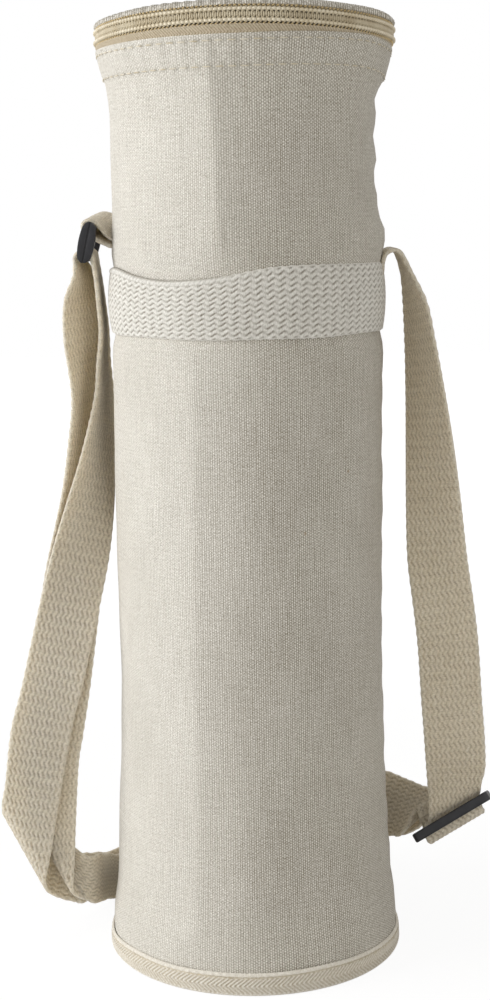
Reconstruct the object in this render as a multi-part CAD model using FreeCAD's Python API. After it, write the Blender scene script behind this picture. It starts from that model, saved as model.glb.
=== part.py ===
import FreeCAD, Part
import math
import os
from FreeCAD import Vector

# A soft, padded bottle bag: a canvas tube with a zipped round lid, a webbing band
# round its waist, and a shoulder strap that runs through a ring and a slide buckle.
# Millimetres. The origin is the middle of the base on the table, +Z is up and the
# front of the bag looks along -Y.

os.makedirs("parts", exist_ok=True)

# Driving sizes
bag_height = 391.0          # table to the top of the lid
body_radius = 55.8          # outside of the canvas at the waist
canvas = 0.9                # cotton canvas
foam = 3.0                  # closed-cell padding
lining = 0.5                # coated lining cloth
layer_gap = 0.1             # air between two cloths laid on each other
running_gap = 0.6           # air between a moving piece and the piece it runs past
webbing_width = 25.0
webbing_thickness = 1.6

# Base
binding_tape = 1.3          # twill tape, folded double
binding_height = 10.0
binding_round = 0.9         # rounding of the tape's outer edge
binding_lip = 7.6           # how far the tape folds in under the bag
base_flare = 4.6            # how far the wall swells out towards the base
base_flare_height = 108.0
panel_joggle = 1.1          # sloping step where the base cloth rises over the tape

# Mouth
mouth_flare = 4.3           # how far the hem leans out to meet the zip
mouth_flare_height = 28.0
zip_tape = 0.6
tape_hold = 12.5            # how far the zip tape runs down inside the hem
tape_show = 3.9             # how much of the tape shows above the hem
coil_height = 2.7
coil_depth = 2.6
coil_gap = 1.2              # between the two coils, where the slider's web runs
zip_end_angle = 52.0        # the coil stops this far round from +X, on both sides of the back
stop_angle = 1.6            # arc of a metal end stop
stop_gap_angle = 0.3

# Slider and pull
slider_plate = 1.4
slider_web = 0.5
slider_flange = 1.0
slider_length_angle = 9.4
slider_rest_angle = 46.0
bridge_reach = 3.0          # how far the bridge stands off the slider
bridge_wall = 1.2
bridge_width = 2.4
pull_thickness = 1.0
pull_width = 7.0
pull_length = 27.0
pull_bar = 1.2

# Waist band, sewn roots and ring
band_drop = 87.6            # mouth's hem down to the top of the band
arch_rise = 7.42            # how high the right root arches over the band
root_stand = 2.2            # how far the sewn roots stand out; beyond them the strap swings
ring_height = 17.0
ring_depth = 6.4
ring_rail = 3.6
ring_play = 0.8             # between the webbing's edge and the ring's rail
ring_bar_radius = 1.9
ring_rise = 12.2            # ring middle above the band
tab_clear = 0.5             # extra air where the tab's ends meet the sewn roots
tab_reach = 4.1             # ring middle out from the tab's inner end
ring_back = 2.0             # the ring sits this far behind the side seam
rail_round_share = 0.45

# Slide buckle
buckle_depth = 22.0
buckle_thickness = 4.0
buckle_end = 3.2            # wall at the ends of the slots
buckle_play = 1.4           # spare length of the slots
buckle_bar = 3.5            # width of the outer bars
buckle_core_radius = 1.5    # round middle bar
buckle_round = 0.9
loop_gap = 0.4              # between the middle bar, the sewn loop and the strap

# One overrun for every cut
overrun = 5.0


def save(name, shape):
    solid = shape.removeSplitter()
    solid.exportStep(os.path.join("parts", name + ".step"))


def at(r, z):
    return Vector(r, 0, z)


def closed_face(edges):
    return Part.Face(Part.Wire(Part.__sortEdges__(edges)))


def polygon_face(points):
    corners = [at(r, z) for r, z in points]
    return Part.Face(Part.makePolygon(corners + [corners[0]]))


def spin(face, start=0.0, sweep=360.0):
    turned = face.copy()
    turned.rotate(Vector(0, 0, 0), Vector(0, 0, 1), start)
    return turned.revolve(Vector(0, 0, 0), Vector(0, 0, 1), sweep)


# The wall follows one outline: a long bow out to the base, a straight tube and a
# short bow out to the mouth. Every layer is the same outline moved in by its depth.
base_bow = (base_flare_height ** 2 + base_flare ** 2) / (2 * base_flare)
mouth_bow = (mouth_flare_height ** 2 + mouth_flare ** 2) / (2 * mouth_flare)
lid_stack = running_gap * 2 + lining + layer_gap + foam + layer_gap + canvas
zip_stack = tape_show + layer_gap + coil_height + coil_gap + coil_height
hem_top = bag_height - lid_stack - zip_stack
mouth_low = hem_top - mouth_flare_height
cloth_floor = binding_tape + layer_gap
wall_floor = cloth_floor + canvas + layer_gap
base_top = wall_floor + base_flare_height


def wall_radius(depth, z):
    if z < base_top:
        reach = base_bow + depth
        return body_radius + base_bow - math.sqrt(reach ** 2 - (base_top - z) ** 2)
    if z > mouth_low:
        reach = mouth_bow + depth
        return body_radius + mouth_bow - math.sqrt(reach ** 2 - (z - mouth_low) ** 2)
    return body_radius - depth


def wall_point(depth, z):
    return at(wall_radius(depth, z), z)


def wall_arc(depth, low, high):
    middle = (low + high) / 2
    return Part.Arc(wall_point(depth, low), wall_point(depth, middle), wall_point(depth, high)).toShape()


def wall_line(depth, low, high):
    edges = []
    if low < base_top:
        edges.append(wall_arc(depth, low, min(high, base_top)))
    if high > base_top and low < mouth_low:
        edges.append(Part.makeLine(wall_point(depth, max(low, base_top)), wall_point(depth, min(high, mouth_low))))
    if high > mouth_low:
        edges.append(wall_arc(depth, max(low, mouth_low), high))
    return edges


def wall_layer(depth, thickness, low, high, start=0.0, sweep=360.0):
    edges = wall_line(depth, low, high) + wall_line(depth + thickness, low, high)
    edges.append(Part.makeLine(wall_point(depth, low), wall_point(depth + thickness, low)))
    edges.append(Part.makeLine(wall_point(depth, high), wall_point(depth + thickness, high)))
    return spin(closed_face(edges), start, sweep)


# Depths of the layers, counted in from the outside of the canvas
foam_depth = canvas + layer_gap
lining_depth = foam_depth + foam + layer_gap
tape_depth = foam_depth
facing_depth = tape_depth + zip_tape + layer_gap

# Body
foam_top = hem_top - tape_hold - layer_gap - lining - layer_gap
save("outer_shell", wall_layer(0.0, canvas, wall_floor, hem_top))
save("body_foam", wall_layer(foam_depth, foam, wall_floor, foam_top))

# The lining climbs the foam, folds out over its top edge and is sewn to the zip tape
shelf_low = foam_top + layer_gap
shelf_high = shelf_low + lining
lining_floor = wall_floor + foam - layer_gap
facing_top = hem_top - canvas
lining_edges = wall_line(lining_depth + lining, lining_floor, shelf_high)
lining_edges += wall_line(lining_depth, lining_floor, shelf_low)
lining_edges += wall_line(facing_depth, shelf_low, facing_top)
lining_edges += wall_line(facing_depth + lining, shelf_high, facing_top)
for depth_a, z_a, depth_b, z_b in (
        (lining_depth, lining_floor, lining_depth + lining, lining_floor),
        (lining_depth, shelf_low, facing_depth, shelf_low),
        (lining_depth + lining, shelf_high, facing_depth + lining, shelf_high),
        (facing_depth, facing_top, facing_depth + lining, facing_top)):
    lining_edges.append(Part.makeLine(wall_point(depth_a, z_a), wall_point(depth_b, z_b)))
save("body_lining", spin(closed_face(lining_edges)))

# Base: the cloth lies on the table in the middle and rises over the binding tape
foot_radius = wall_radius(0.0, wall_floor)
binding_radius = foot_radius + layer_gap + binding_tape
lip_radius = binding_radius - binding_lip
panel_flat = lip_radius - layer_gap - panel_joggle
save("base_panel", spin(polygon_face([
    (0, 0), (panel_flat, 0), (lip_radius - layer_gap, cloth_floor), (foot_radius, cloth_floor),
    (foot_radius, cloth_floor + canvas), (lip_radius - layer_gap - canvas / 2, cloth_floor + canvas),
    (panel_flat - canvas / 2, canvas), (0, canvas)])))

binding = spin(polygon_face([
    (lip_radius, 0), (binding_radius, 0), (binding_radius, binding_height),
    (wall_radius(0.0, binding_height) + layer_gap, binding_height),
    (foot_radius + layer_gap, wall_floor), (foot_radius + layer_gap, binding_tape), (lip_radius, binding_tape)]))
outer_rims = [edge for edge in binding.Edges
              if edge.Closed and abs(edge.BoundBox.XMax - binding_radius) < layer_gap]
save("base_binding", binding.makeFillet(binding_round, outer_rims))

pad_low = canvas + layer_gap
pad_top = pad_low + foam
pad_step = wall_floor
pad_narrow = panel_flat - canvas
pad_wide = wall_radius(foam_depth + foam + layer_gap, wall_floor) - layer_gap
save("base_foam", spin(polygon_face([
    (0, pad_low), (pad_narrow, pad_low), (pad_narrow, pad_step), (pad_wide, pad_step),
    (pad_wide, pad_top), (0, pad_top)])))
floor_low = pad_top + layer_gap
floor_top = floor_low + lining
floor_radius = wall_radius(lining_depth + lining, floor_low) - layer_gap
save("base_lining", spin(polygon_face([
    (0, floor_low), (floor_radius, floor_low), (floor_radius, floor_top), (0, floor_top)])))

# Zip: two tapes, two coils and the end stops
tape_top = hem_top + tape_show
coil_low = tape_top + layer_gap
coil_mid = coil_low + coil_height + coil_gap / 2
upper_coil_low = coil_low + coil_height + coil_gap
upper_coil_top = upper_coil_low + coil_height
coil_inner = wall_radius(tape_depth + zip_tape / 2, coil_low) - coil_depth / 2
coil_outer = coil_inner + coil_depth
coil_round = coil_height / 4
zip_start = -180.0 - zip_end_angle
zip_sweep = 180.0 + 2 * zip_end_angle
save("zip_tape_lower", wall_layer(tape_depth, zip_tape, hem_top - tape_hold, tape_top))


def coil(low):
    high = low + coil_height
    ring = spin(polygon_face([
        (coil_inner, low + coil_round), (coil_inner + coil_round, low), (coil_outer - coil_round, low),
        (coil_outer, low + coil_round), (coil_outer, high - coil_round), (coil_outer - coil_round, high),
        (coil_inner + coil_round, high), (coil_inner, high - coil_round)]), zip_start, zip_sweep)
    return ring


save("zip_coil_lower", coil(coil_low))
save("zip_coil_upper", coil(upper_coil_low))


def block(inner, outer, low, high, start, sweep):
    return spin(polygon_face([(inner, low), (outer, low), (outer, high), (inner, high)]), start, sweep)


coil_top = coil_low + coil_height
stop_start = zip_end_angle + stop_gap_angle
save("zip_stop_right", block(coil_inner, coil_outer, coil_low, coil_top, stop_start, stop_angle))
save("zip_stop_left", block(coil_inner, coil_outer, coil_low, coil_top, 180.0 - stop_start - stop_angle, stop_angle))

# Cloth hinge at the back, where the zip stops short
patch_start = stop_start + stop_angle + stop_gap_angle
patch_sweep = 180.0 - 2 * patch_start
patch_inner = (coil_inner + coil_outer) / 2 - canvas
patch_outer = patch_inner + 2 * canvas
patch_low_top = coil_mid - coil_gap / 4
patch_high_low = coil_mid + coil_gap / 4
save("hinge_patch_lower", block(patch_inner, patch_outer, coil_low, patch_low_top, patch_start, patch_sweep))
save("hinge_patch_upper", block(patch_inner, patch_outer, patch_high_low, upper_coil_top, patch_start, patch_sweep))

# Lid
lid_inner_low = upper_coil_top + running_gap * 2
lid_top = bag_height
lid_radius = coil_outer
skirt_low = lid_inner_low + lining + layer_gap
upper_tape_inner = lid_radius - canvas - layer_gap - zip_tape
lid_fill_radius = upper_tape_inner - layer_gap
tape_under_lid = lid_top - canvas - layer_gap
save("zip_tape_upper", block(upper_tape_inner, upper_tape_inner + zip_tape, upper_coil_top + layer_gap,
                             tape_under_lid, 0.0, 360.0))
lid_cloth = spin(polygon_face([
    (0, lid_top), (lid_radius, lid_top), (lid_radius, skirt_low), (lid_radius - canvas, skirt_low),
    (lid_radius - canvas, lid_top - canvas), (0, lid_top - canvas)]))
lid_rim = [edge for edge in lid_cloth.Edges
           if edge.Closed and abs(edge.BoundBox.ZMin - lid_top) < layer_gap]
save("lid_panel", lid_cloth.makeFillet(canvas * 2 / 3, lid_rim))
lid_foam_low = lid_inner_low + lining + layer_gap
save("lid_foam", block(0, lid_fill_radius, lid_foam_low, tape_under_lid, 0.0, 360.0))
save("lid_lining", block(0, lid_fill_radius, lid_inner_low, lid_inner_low + lining, 0.0, 360.0))

# Slider: outer and inner plates joined by a web between the coils, with flanges that
# hook under the lower coil. It is turned about the bag's axis, so it runs round freely.
plate_inner = coil_outer + running_gap
plate_outer = plate_inner + slider_plate
back_outer = coil_inner - running_gap
back_inner = back_outer - slider_plate
slider_low = coil_low - running_gap - slider_flange
slider_high = upper_coil_top + running_gap
web_low = coil_mid - slider_web / 2
web_high = coil_mid + slider_web / 2
slider_start = slider_rest_angle - slider_length_angle / 2
flange_top = slider_low + slider_flange
slider_face = polygon_face([
    (plate_outer, slider_low), (plate_outer, slider_high), (plate_inner, slider_high), (plate_inner, web_high),
    (back_outer, web_high), (back_outer, slider_high), (back_inner, slider_high), (back_inner, slider_low),
    (back_outer + running_gap, slider_low), (back_outer + running_gap, flange_top), (back_outer, flange_top),
    (back_outer, web_low), (plate_inner, web_low), (plate_inner, flange_top),
    (plate_inner - running_gap, flange_top), (plate_inner - running_gap, slider_low)])
slider = spin(slider_face, slider_start, slider_length_angle)


def bar(radial_low, radial_high, side_low, side_high, low, high):
    box = Part.makeBox(radial_high - radial_low, side_high - side_low, high - low,
                       Vector(radial_low, side_low, low))
    box.rotate(Vector(0, 0, 0), Vector(0, 0, 1), slider_rest_angle)
    return box


half_bridge = bridge_width / 2
bridge_foot = plate_outer - slider_plate / 2
bridge_top = plate_outer + bridge_reach
bridge_low = coil_mid - bridge_reach
bridge_high = coil_mid + bridge_reach
slider = slider.fuse([
    bar(bridge_foot, bridge_top, -half_bridge, half_bridge, bridge_low, bridge_low + bridge_wall),
    bar(bridge_foot, bridge_top, -half_bridge, half_bridge, bridge_high - bridge_wall, bridge_high),
    bar(bridge_top - bridge_wall, bridge_top, -half_bridge, half_bridge, bridge_low, bridge_high)])
save("zip_slider", slider)

# Pull: a flat tab with an eye, its top bar caught under the bridge
pull_play = (bridge_reach - bridge_wall - pull_thickness) / 2
pull_near = plate_outer + pull_play
pull_far = pull_near + pull_thickness
pull_bar_low = bridge_low + bridge_wall + pull_play
pull_top = pull_bar_low + pull_bar
eye_half = half_bridge + pull_play
eye_low = bridge_low - pull_play - pull_bar
pull_plate = bar(pull_near, pull_far, -pull_width / 2, pull_width / 2, pull_top - pull_length, pull_top)
eye = bar(pull_near - overrun, pull_far + overrun, -eye_half, eye_half, eye_low, pull_bar_low)
save("zip_pull", pull_plate.cut(eye))

# Waist band
band_top = hem_top - band_drop
band_low = band_top - webbing_width
band_inner = body_radius + layer_gap
root_reach = band_inner + 2 * webbing_thickness + layer_gap + root_stand
arch_top = band_top + arch_rise
save("waist_band", block(band_inner, band_inner + webbing_thickness, band_low, band_top, 0.0, 360.0))


# Webbing: each station is a middle point and the direction of the width; the ribbon
# is a ruled loft through thin rectangles set on those stations.
def ribbon_normals(stations):
    normals = []
    for index, (middle, across) in enumerate(stations):
        before = stations[max(index - 1, 0)][0]
        after = stations[min(index + 1, len(stations) - 1)][0]
        normal = across.cross(after.sub(before))
        normal.normalize()
        normals.append(normal)
    return normals


def ribbon(stations, normals, first, last):
    wires = []
    for index in range(first, last + 1):
        middle, across = stations[index]
        half = Vector(across).multiply(webbing_width / 2)
        lift = Vector(normals[index]).multiply(webbing_thickness / 2)
        a = middle.sub(half).add(lift)
        b = middle.add(half).add(lift)
        c = middle.add(half).sub(lift)
        d = middle.sub(half).sub(lift)
        wires.append(Part.makePolygon([a, b, c, d, a]))
    solid = Part.makeLoft(wires, True, True)
    if solid.Volume < 0:
        solid.reverse()
    return solid


def scaled(vector, length):
    return Vector(vector).multiply(length)


def strap_place(x_share, y_share, z_share):
    return Vector(x_share * root_reach, y_share * root_reach, z_share * arch_top)


def stations_from(shares):
    rows = []
    for x, y, z, along_x, along_y, along_z in shares:
        rows.append((strap_place(x, y, z), Vector(along_x, along_y, along_z)))
    return rows


def half_turn(middle, start, toward, radius, across, steps):
    rows = []
    for step in range(steps + 1):
        angle = math.pi * step / steps
        point = middle.add(scaled(start, radius * math.cos(angle))).add(scaled(toward, radius * math.sin(angle)))
        rows.append((point, Vector(across)))
    return rows


def diagonal_fold(middle, along, across, back, crease, radius, steps):
    # The ribbon rolls over a slanting crease and comes back behind itself
    side = along.sub(scaled(crease, along.dot(crease)))
    advance = along.dot(crease) / side.Length
    side.normalize()
    square = across.sub(scaled(along, across.dot(along)))
    square.normalize()
    stretch = 1.0 / crease.dot(square)
    rows = []
    for step in range(steps + 1):
        angle = math.pi * step / steps
        point = middle.add(scaled(back, radius * (1 - math.cos(angle))))
        point = point.add(scaled(side, radius * math.sin(angle)))
        point = point.add(scaled(crease, advance * radius * angle))
        rows.append((point, scaled(crease, stretch)))
    return rows


# Route of the strap: its place as shares of the roots' reach and of the arch's height,
# then the direction of its width.
# It starts at the right arch, runs down to the buckle, turns round its middle bar,
# passes behind the bag, folds at the left, climbs to the ring, and comes back inside
# its own path to a loop sewn round the same middle bar.
right_run_shares = [
    (1.0234, 0.0000, 0.9993, 0.00, -1.00, 0.00),
    (1.0405, 0.0000, 0.9958, 0.01, -1.00, 0.00),
    (1.0596, 0.0000, 0.9867, 0.03, -1.00, 0.01),
    (1.0896, 0.0000, 0.9681, 0.06, -1.00, 0.04),
    (1.1348, -0.0325, 0.9290, 0.27, -0.96, 0.05),
    (1.1596, -0.0650, 0.8728, 0.39, -0.92, 0.06),
    (1.1947, -0.1140, 0.7889, 0.57, -0.82, 0.08),
    (1.2182, -0.1465, 0.7186, 0.72, -0.69, 0.09),
    (1.2367, -0.1789, 0.6483, 0.84, -0.54, 0.08),
    (1.2615, -0.2114, 0.5638, 0.95, -0.30, 0.05),
    (1.2965, -0.2280, 0.5069, 1.00, 0.00, -0.01),
    (1.3290, -0.2280, 0.4491, 1.00, 0.00, -0.01),
    (1.3577, -0.2114, 0.3611, 1.00, 0.00, -0.01),
    (1.3838, -0.1630, 0.2993, 1.00, -0.05, 0.00),
    (1.4048, -0.0815, 0.2376, 0.95, -0.12, 0.28),
]
outer_back_shares = [
    (1.3437, 0.3993, 0.1681, 0.62, 0.20, 0.76),
    (1.2055, 0.5540, 0.1478, 0.38, 0.33, 0.86),
    (0.9775, 0.7489, 0.1324, 0.20, 0.38, 0.90),
    (0.6839, 0.9775, 0.1155, 0.15, 0.36, 0.92),
    (0.3260, 1.1482, 0.0951, 0.08, 0.36, 0.93),
    (-0.0815, 1.1889, 0.0748, 0.00, 0.36, 0.93),
    (-0.4725, 1.0991, 0.0560, -0.10, 0.38, 0.92),
    (-0.7979, 0.9119, 0.0434, -0.15, 0.42, 0.89),
    (-1.0444, 0.7088, 0.0432, -0.12, 0.46, 0.88),
    (-1.1240, 0.5050, 0.0491, -0.05, 0.42, 0.91),
    (-1.1622, 0.3095, 0.0624, -0.02, 0.36, 0.93),
    (-1.1896, 0.1305, 0.0784, -0.03, 0.20, 0.98),
    (-1.2462, -0.0166, 0.0943, -0.10, 0.00, 0.99),
]
left_front_shares = [
    (-1.4360, -0.2445, 0.3343, -1.00, 0.00, 0.01),
    (-1.3685, -0.2445, 0.3851, -1.00, 0.00, 0.01),
    (-1.2902, -0.2114, 0.4555, -1.00, 0.00, 0.01),
    (-1.2290, -0.1630, 0.5109, -0.98, -0.17, 0.05),
    (-1.1564, -0.0974, 0.5786, -0.92, -0.39, 0.09),
    (-1.0870, 0.0000, 0.6514, -0.71, -0.70, 0.12),
    (-1.0514, 0.0650, 0.6984, -0.51, -0.85, 0.13),
    (-1.0221, 0.1305, 0.7462, -0.36, -0.93, 0.09),
    (-0.9972, 0.1598, 0.8016, -0.20, -0.98, 0.00),
    (-0.9960, 0.1496, 0.8424, -0.12, -0.99, 0.00),
    (-1.0075, 0.1140, 0.8899, -0.08, -1.00, 0.00),
    (-1.0270, 0.0751, 0.9307, -0.06, -1.00, 0.00),
    (-1.0367, 0.0446, 0.9646, -0.03, -1.00, 0.00),
]
left_rear_shares = [
    (-1.1539, 0.0382, 0.9681, -0.14, -0.99, 0.00),
    (-1.1603, 0.0446, 0.9384, -0.36, -0.93, 0.04),
    (-1.1564, 0.0650, 0.8800, -0.33, -0.94, 0.07),
    (-1.1424, 0.0974, 0.8307, -0.27, -0.96, 0.09),
    (-1.1367, 0.1305, 0.7867, -0.28, -0.96, 0.11),
    (-1.1494, 0.1305, 0.7302, -0.37, -0.92, 0.13),
    (-1.1730, 0.0974, 0.6643, -0.47, -0.87, 0.14),
    (-1.1972, 0.0490, 0.6064, -0.65, -0.75, 0.15),
    (-1.2138, 0.0000, 0.5616, -0.84, -0.53, 0.12),
    (-1.2399, -0.0732, 0.5066, -0.96, -0.25, 0.07),
    (-1.2736, -0.1350, 0.4515, -1.00, 0.00, 0.01),
    (-1.3182, -0.1840, 0.3814, -1.00, 0.00, 0.01),
    (-1.3698, -0.1987, 0.3166, -1.00, 0.00, 0.01),
    (-1.4048, -0.2038, 0.2730, -1.00, 0.00, 0.01),
]
inner_back_shares = [
    (-1.1526, -0.0783, 0.1102, -0.10, 0.00, 0.99),
    (-1.0845, 0.0974, 0.0870, -0.02, 0.20, 0.98),
    (-1.0698, 0.2929, 0.0664, 0.00, 0.38, 0.92),
    (-1.0444, 0.4560, 0.0531, -0.06, 0.43, 0.90),
    (-0.9616, 0.6515, 0.0441, -0.13, 0.46, 0.88),
    (-0.7489, 0.8470, 0.0449, -0.15, 0.42, 0.89),
    (-0.4477, 1.0259, 0.0628, -0.10, 0.38, 0.92),
    (-0.0815, 1.1157, 0.0883, 0.00, 0.36, 0.93),
    (0.3095, 1.0781, 0.1189, 0.08, 0.36, 0.93),
    (0.6432, 0.9119, 0.1401, 0.15, 0.36, 0.92),
    (0.9119, 0.6922, 0.1547, 0.20, 0.38, 0.90),
    (1.0749, 0.5050, 0.1614, 0.30, 0.33, 0.89),
    (1.1640, 0.3560, 0.1790, 0.48, 0.27, 0.83),
    (1.2500, 0.2280, 0.2010, 0.70, 0.12, 0.70),
]
buckle_place_shares = (1.3984, 0.0707, 0.1695)
front_fold_shares = (-1.5615, -0.2522, 0.1833)
rear_fold_shares = (-1.4105, -0.2070, 0.1614)

# Where the strap enters and leaves the buckle: shares of the turn's radius across the
# slots and of half the plate's thickness out of it, then how far the slant widens it
strap_entry_shares = [(-1.255, 3.5, 1.13), (-1.085, 1.1, 1.167)]
strap_exit_shares = [(1.0, 1.3, 1.12), (1.9, 4.6, 1.05)]
strap_end_shares = [(0.4, 6.0, 1.03), (0.0, 2.9, 1.0)]

front_fold_radius = 6.4
rear_fold_radius = 2.6
turn_steps = 8

# Frame of the buckle: along its bars, across its slots, and out of its face
bars_along = Vector(0.857, 0.0, 0.515)
slots_along = Vector(0.176, 0.939, -0.293)
face_out = bars_along.cross(slots_along)
for direction in (bars_along, slots_along, face_out):
    direction.normalize()
buckle_place = strap_place(*buckle_place_shares)
loop_radius = buckle_core_radius + loop_gap + webbing_thickness / 2
turn_radius = loop_radius + webbing_thickness + loop_gap
skew = 1.0 / bars_along.x     # the strap crosses the slots at a slant
buckle_slot_length = webbing_width * skew + buckle_play
buckle_length = buckle_slot_length + 2 * buckle_end
plate_half = buckle_thickness / 2


def near_buckle(across_share, out_share, stretch):
    point = buckle_place.add(scaled(slots_along, across_share * turn_radius))
    return (point.add(scaled(face_out, out_share * plate_half)), scaled(bars_along, stretch))


tab_x = -root_reach - running_gap - tab_clear
ring_x = tab_x - tab_reach


def ring_point(level):
    return Vector(ring_x, ring_back, band_top + ring_rise + level)


fold_crease = Vector(0.457, 0.0, -0.890)
fold_crease.normalize()
ring_drop = ring_height / 2 - ring_bar_radius
bight_radius = ring_bar_radius + loop_gap + webbing_thickness / 2

route = [(Vector(root_reach + running_gap, 0, arch_top), Vector(0, -1, 0))]
route += stations_from(right_run_shares)
route += [near_buckle(*shares) for shares in strap_entry_shares]
right_end = len(route) - 1
route += half_turn(buckle_place, scaled(slots_along, -1), scaled(face_out, -1), turn_radius,
                   scaled(bars_along, skew), turn_steps)
route += [near_buckle(*shares) for shares in strap_exit_shares]
turn_end = len(route) - 2
route += stations_from(outer_back_shares)
back_end = len(route) - 1

front_run = stations_from(left_front_shares)
front_along = front_run[0][0].sub(front_run[2][0])
front_along.normalize()
front_across = scaled(front_run[0][1], -1)
front_across.normalize()
front_back = front_across.cross(front_along)
front_back.normalize()
front_fold = diagonal_fold(strap_place(*front_fold_shares), front_along, front_across,
                           front_back, fold_crease, front_fold_radius, turn_steps)
route += [(point, scaled(across, -1)) for point, across in reversed(front_fold)]
route += front_run
front_end = len(route) - 1
route += half_turn(ring_point(-ring_drop), Vector(1, 0, 0), Vector(0, 0, 1), bight_radius,
                   Vector(0, -1, 0), turn_steps)
bight_end = len(route) - 1
rear_run = stations_from(left_rear_shares)
route += rear_run
rear_along = rear_run[-1][0].sub(rear_run[-3][0])
rear_along.normalize()
rear_across = scaled(rear_run[-1][1], -1)
rear_across.normalize()
rear_back = rear_across.cross(rear_along)
rear_back.normalize()
rear_fold = diagonal_fold(strap_place(*rear_fold_shares), rear_along, rear_across,
                          rear_back, fold_crease, rear_fold_radius, turn_steps)
route += [(point, scaled(across, -1)) for point, across in rear_fold]
rear_end = len(route) - 1
route += stations_from(inner_back_shares)
route += [near_buckle(*shares) for shares in strap_end_shares]
inner_end = len(route) - 1

route_normals = ribbon_normals(route)
save("strap_right_run", ribbon(route, route_normals, 0, right_end))
save("strap_buckle_turn", ribbon(route, route_normals, right_end, turn_end))
save("strap_back_outer", ribbon(route, route_normals, turn_end, back_end))
save("strap_left_front", ribbon(route, route_normals, back_end, front_end))
save("strap_ring_bight", ribbon(route, route_normals, front_end, bight_end))
save("strap_left_rear", ribbon(route, route_normals, bight_end, rear_end))
save("strap_back_inner", ribbon(route, route_normals, rear_end, inner_end))

# Sewn end: a closed loop round the buckle's middle bar with a short tail
loop_outer = loop_radius + webbing_thickness / 2
loop_inner = loop_radius - webbing_thickness / 2
loop_foot = buckle_place.sub(scaled(bars_along, webbing_width / 2))
loop = Part.makeCylinder(loop_outer, webbing_width, loop_foot, bars_along)
tail_foot = (buckle_place.add(scaled(face_out, loop_radius)), bars_along)
tail = ribbon([route[inner_end], tail_foot], [route_normals[inner_end], route_normals[inner_end]], 0, 1)
hole = Part.makeCylinder(loop_inner, webbing_width + 2 * overrun,
                         loop_foot.sub(scaled(bars_along, overrun)), bars_along)
save("strap_end_loop", loop.fuse(tail).cut(hole))

# Sewn roots: they stand on the waist band's top edge and reach out to the strap.
# Each is a rise up the wall and a bow outwards, in shares of its reach and its rise.
right_root_shares = [(0.0, 0.0), (0.0, 0.368), (0.174, 0.758), (0.531, 0.9635), (1.0, 1.0)]
upper_root_shares = [(0.0, 0.0), (0.0, 0.5), (0.16, 0.78), (0.5, 0.93), (1.0, 1.0)]
lower_root_shares = [(0.0, 0.0), (0.0, 0.5), (0.19, 0.83), (1.0, 1.0)]
sewn_middle = band_inner + webbing_thickness / 2
lower_middle = sewn_middle + webbing_thickness + layer_gap


def sewn_root(name, shares, side, foot, depth, top):
    stations = []
    for reach_share, rise_share in shares:
        x = side * (foot + reach_share * (root_reach - foot))
        stations.append((Vector(x, depth, band_top + rise_share * (top - band_top)), Vector(0, -1, 0)))
    save(name, ribbon(stations, ribbon_normals(stations), 0, len(stations) - 1))


sewn_root("strap_root_right", right_root_shares, 1, sewn_middle, 0, arch_top)

# Ring tab: it loops over the ring's upper bar, and its two ends meet the sewn roots
tab_turn = half_turn(ring_point(ring_drop), Vector(0, 0, 1), Vector(-1, 0, 0), bight_radius,
                     Vector(0, -1, 0), turn_steps)
tab_top_level = tab_turn[0][0].z - loop_gap
tab_low_level = tab_turn[-1][0].z - loop_gap * 3
tab = [(Vector(tab_x, ring_back, tab_top_level), Vector(0, -1, 0))]
tab += tab_turn
tab.append((Vector(tab_x, ring_back, tab_low_level), Vector(0, -1, 0)))
save("ring_tab", ribbon(tab, ribbon_normals(tab), 0, len(tab) - 1))
sewn_root("tab_root_upper", upper_root_shares, -1, sewn_middle, ring_back, tab_top_level)
sewn_root("tab_root_lower", lower_root_shares, -1, lower_middle, ring_back, tab_low_level)

# Strap ring: two leaf-shaped rails joined by two round bars
ring_middle = ring_point(0)
ring_length = webbing_width + 2 * (ring_play + ring_rail)
rail_half = ring_length / 2
rails = []
for side in (-rail_half, rail_half - ring_rail):
    corner = ring_middle.add(Vector(-ring_depth / 2, side, -ring_height / 2))
    rail = Part.makeBox(ring_depth, ring_rail, ring_height, corner)
    upright = [edge for edge in rail.Edges if abs(edge.Vertexes[0].Y - edge.Vertexes[1].Y) > layer_gap]
    rail = rail.makeFillet(ring_depth * rail_round_share, upright)
    rails.append(rail)
bars = []
for level in (-ring_drop, ring_drop):
    start = ring_point(level).add(Vector(0, -rail_half + ring_rail / 2, 0))
    bars.append(Part.makeCylinder(ring_bar_radius, ring_length - ring_rail, start, Vector(0, 1, 0)))
save("strap_ring", rails[0].fuse([rails[1]] + bars))


# Slide buckle: a plate with two slots and a round middle bar, set in its own frame
def in_buckle_frame(shape):
    matrix = FreeCAD.Matrix(
        bars_along.x, slots_along.x, face_out.x, buckle_place.x,
        bars_along.y, slots_along.y, face_out.y, buckle_place.y,
        bars_along.z, slots_along.z, face_out.z, buckle_place.z,
        0, 0, 0, 1)
    moved = shape.copy()
    moved.Placement = FreeCAD.Placement(matrix)
    return moved


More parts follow.
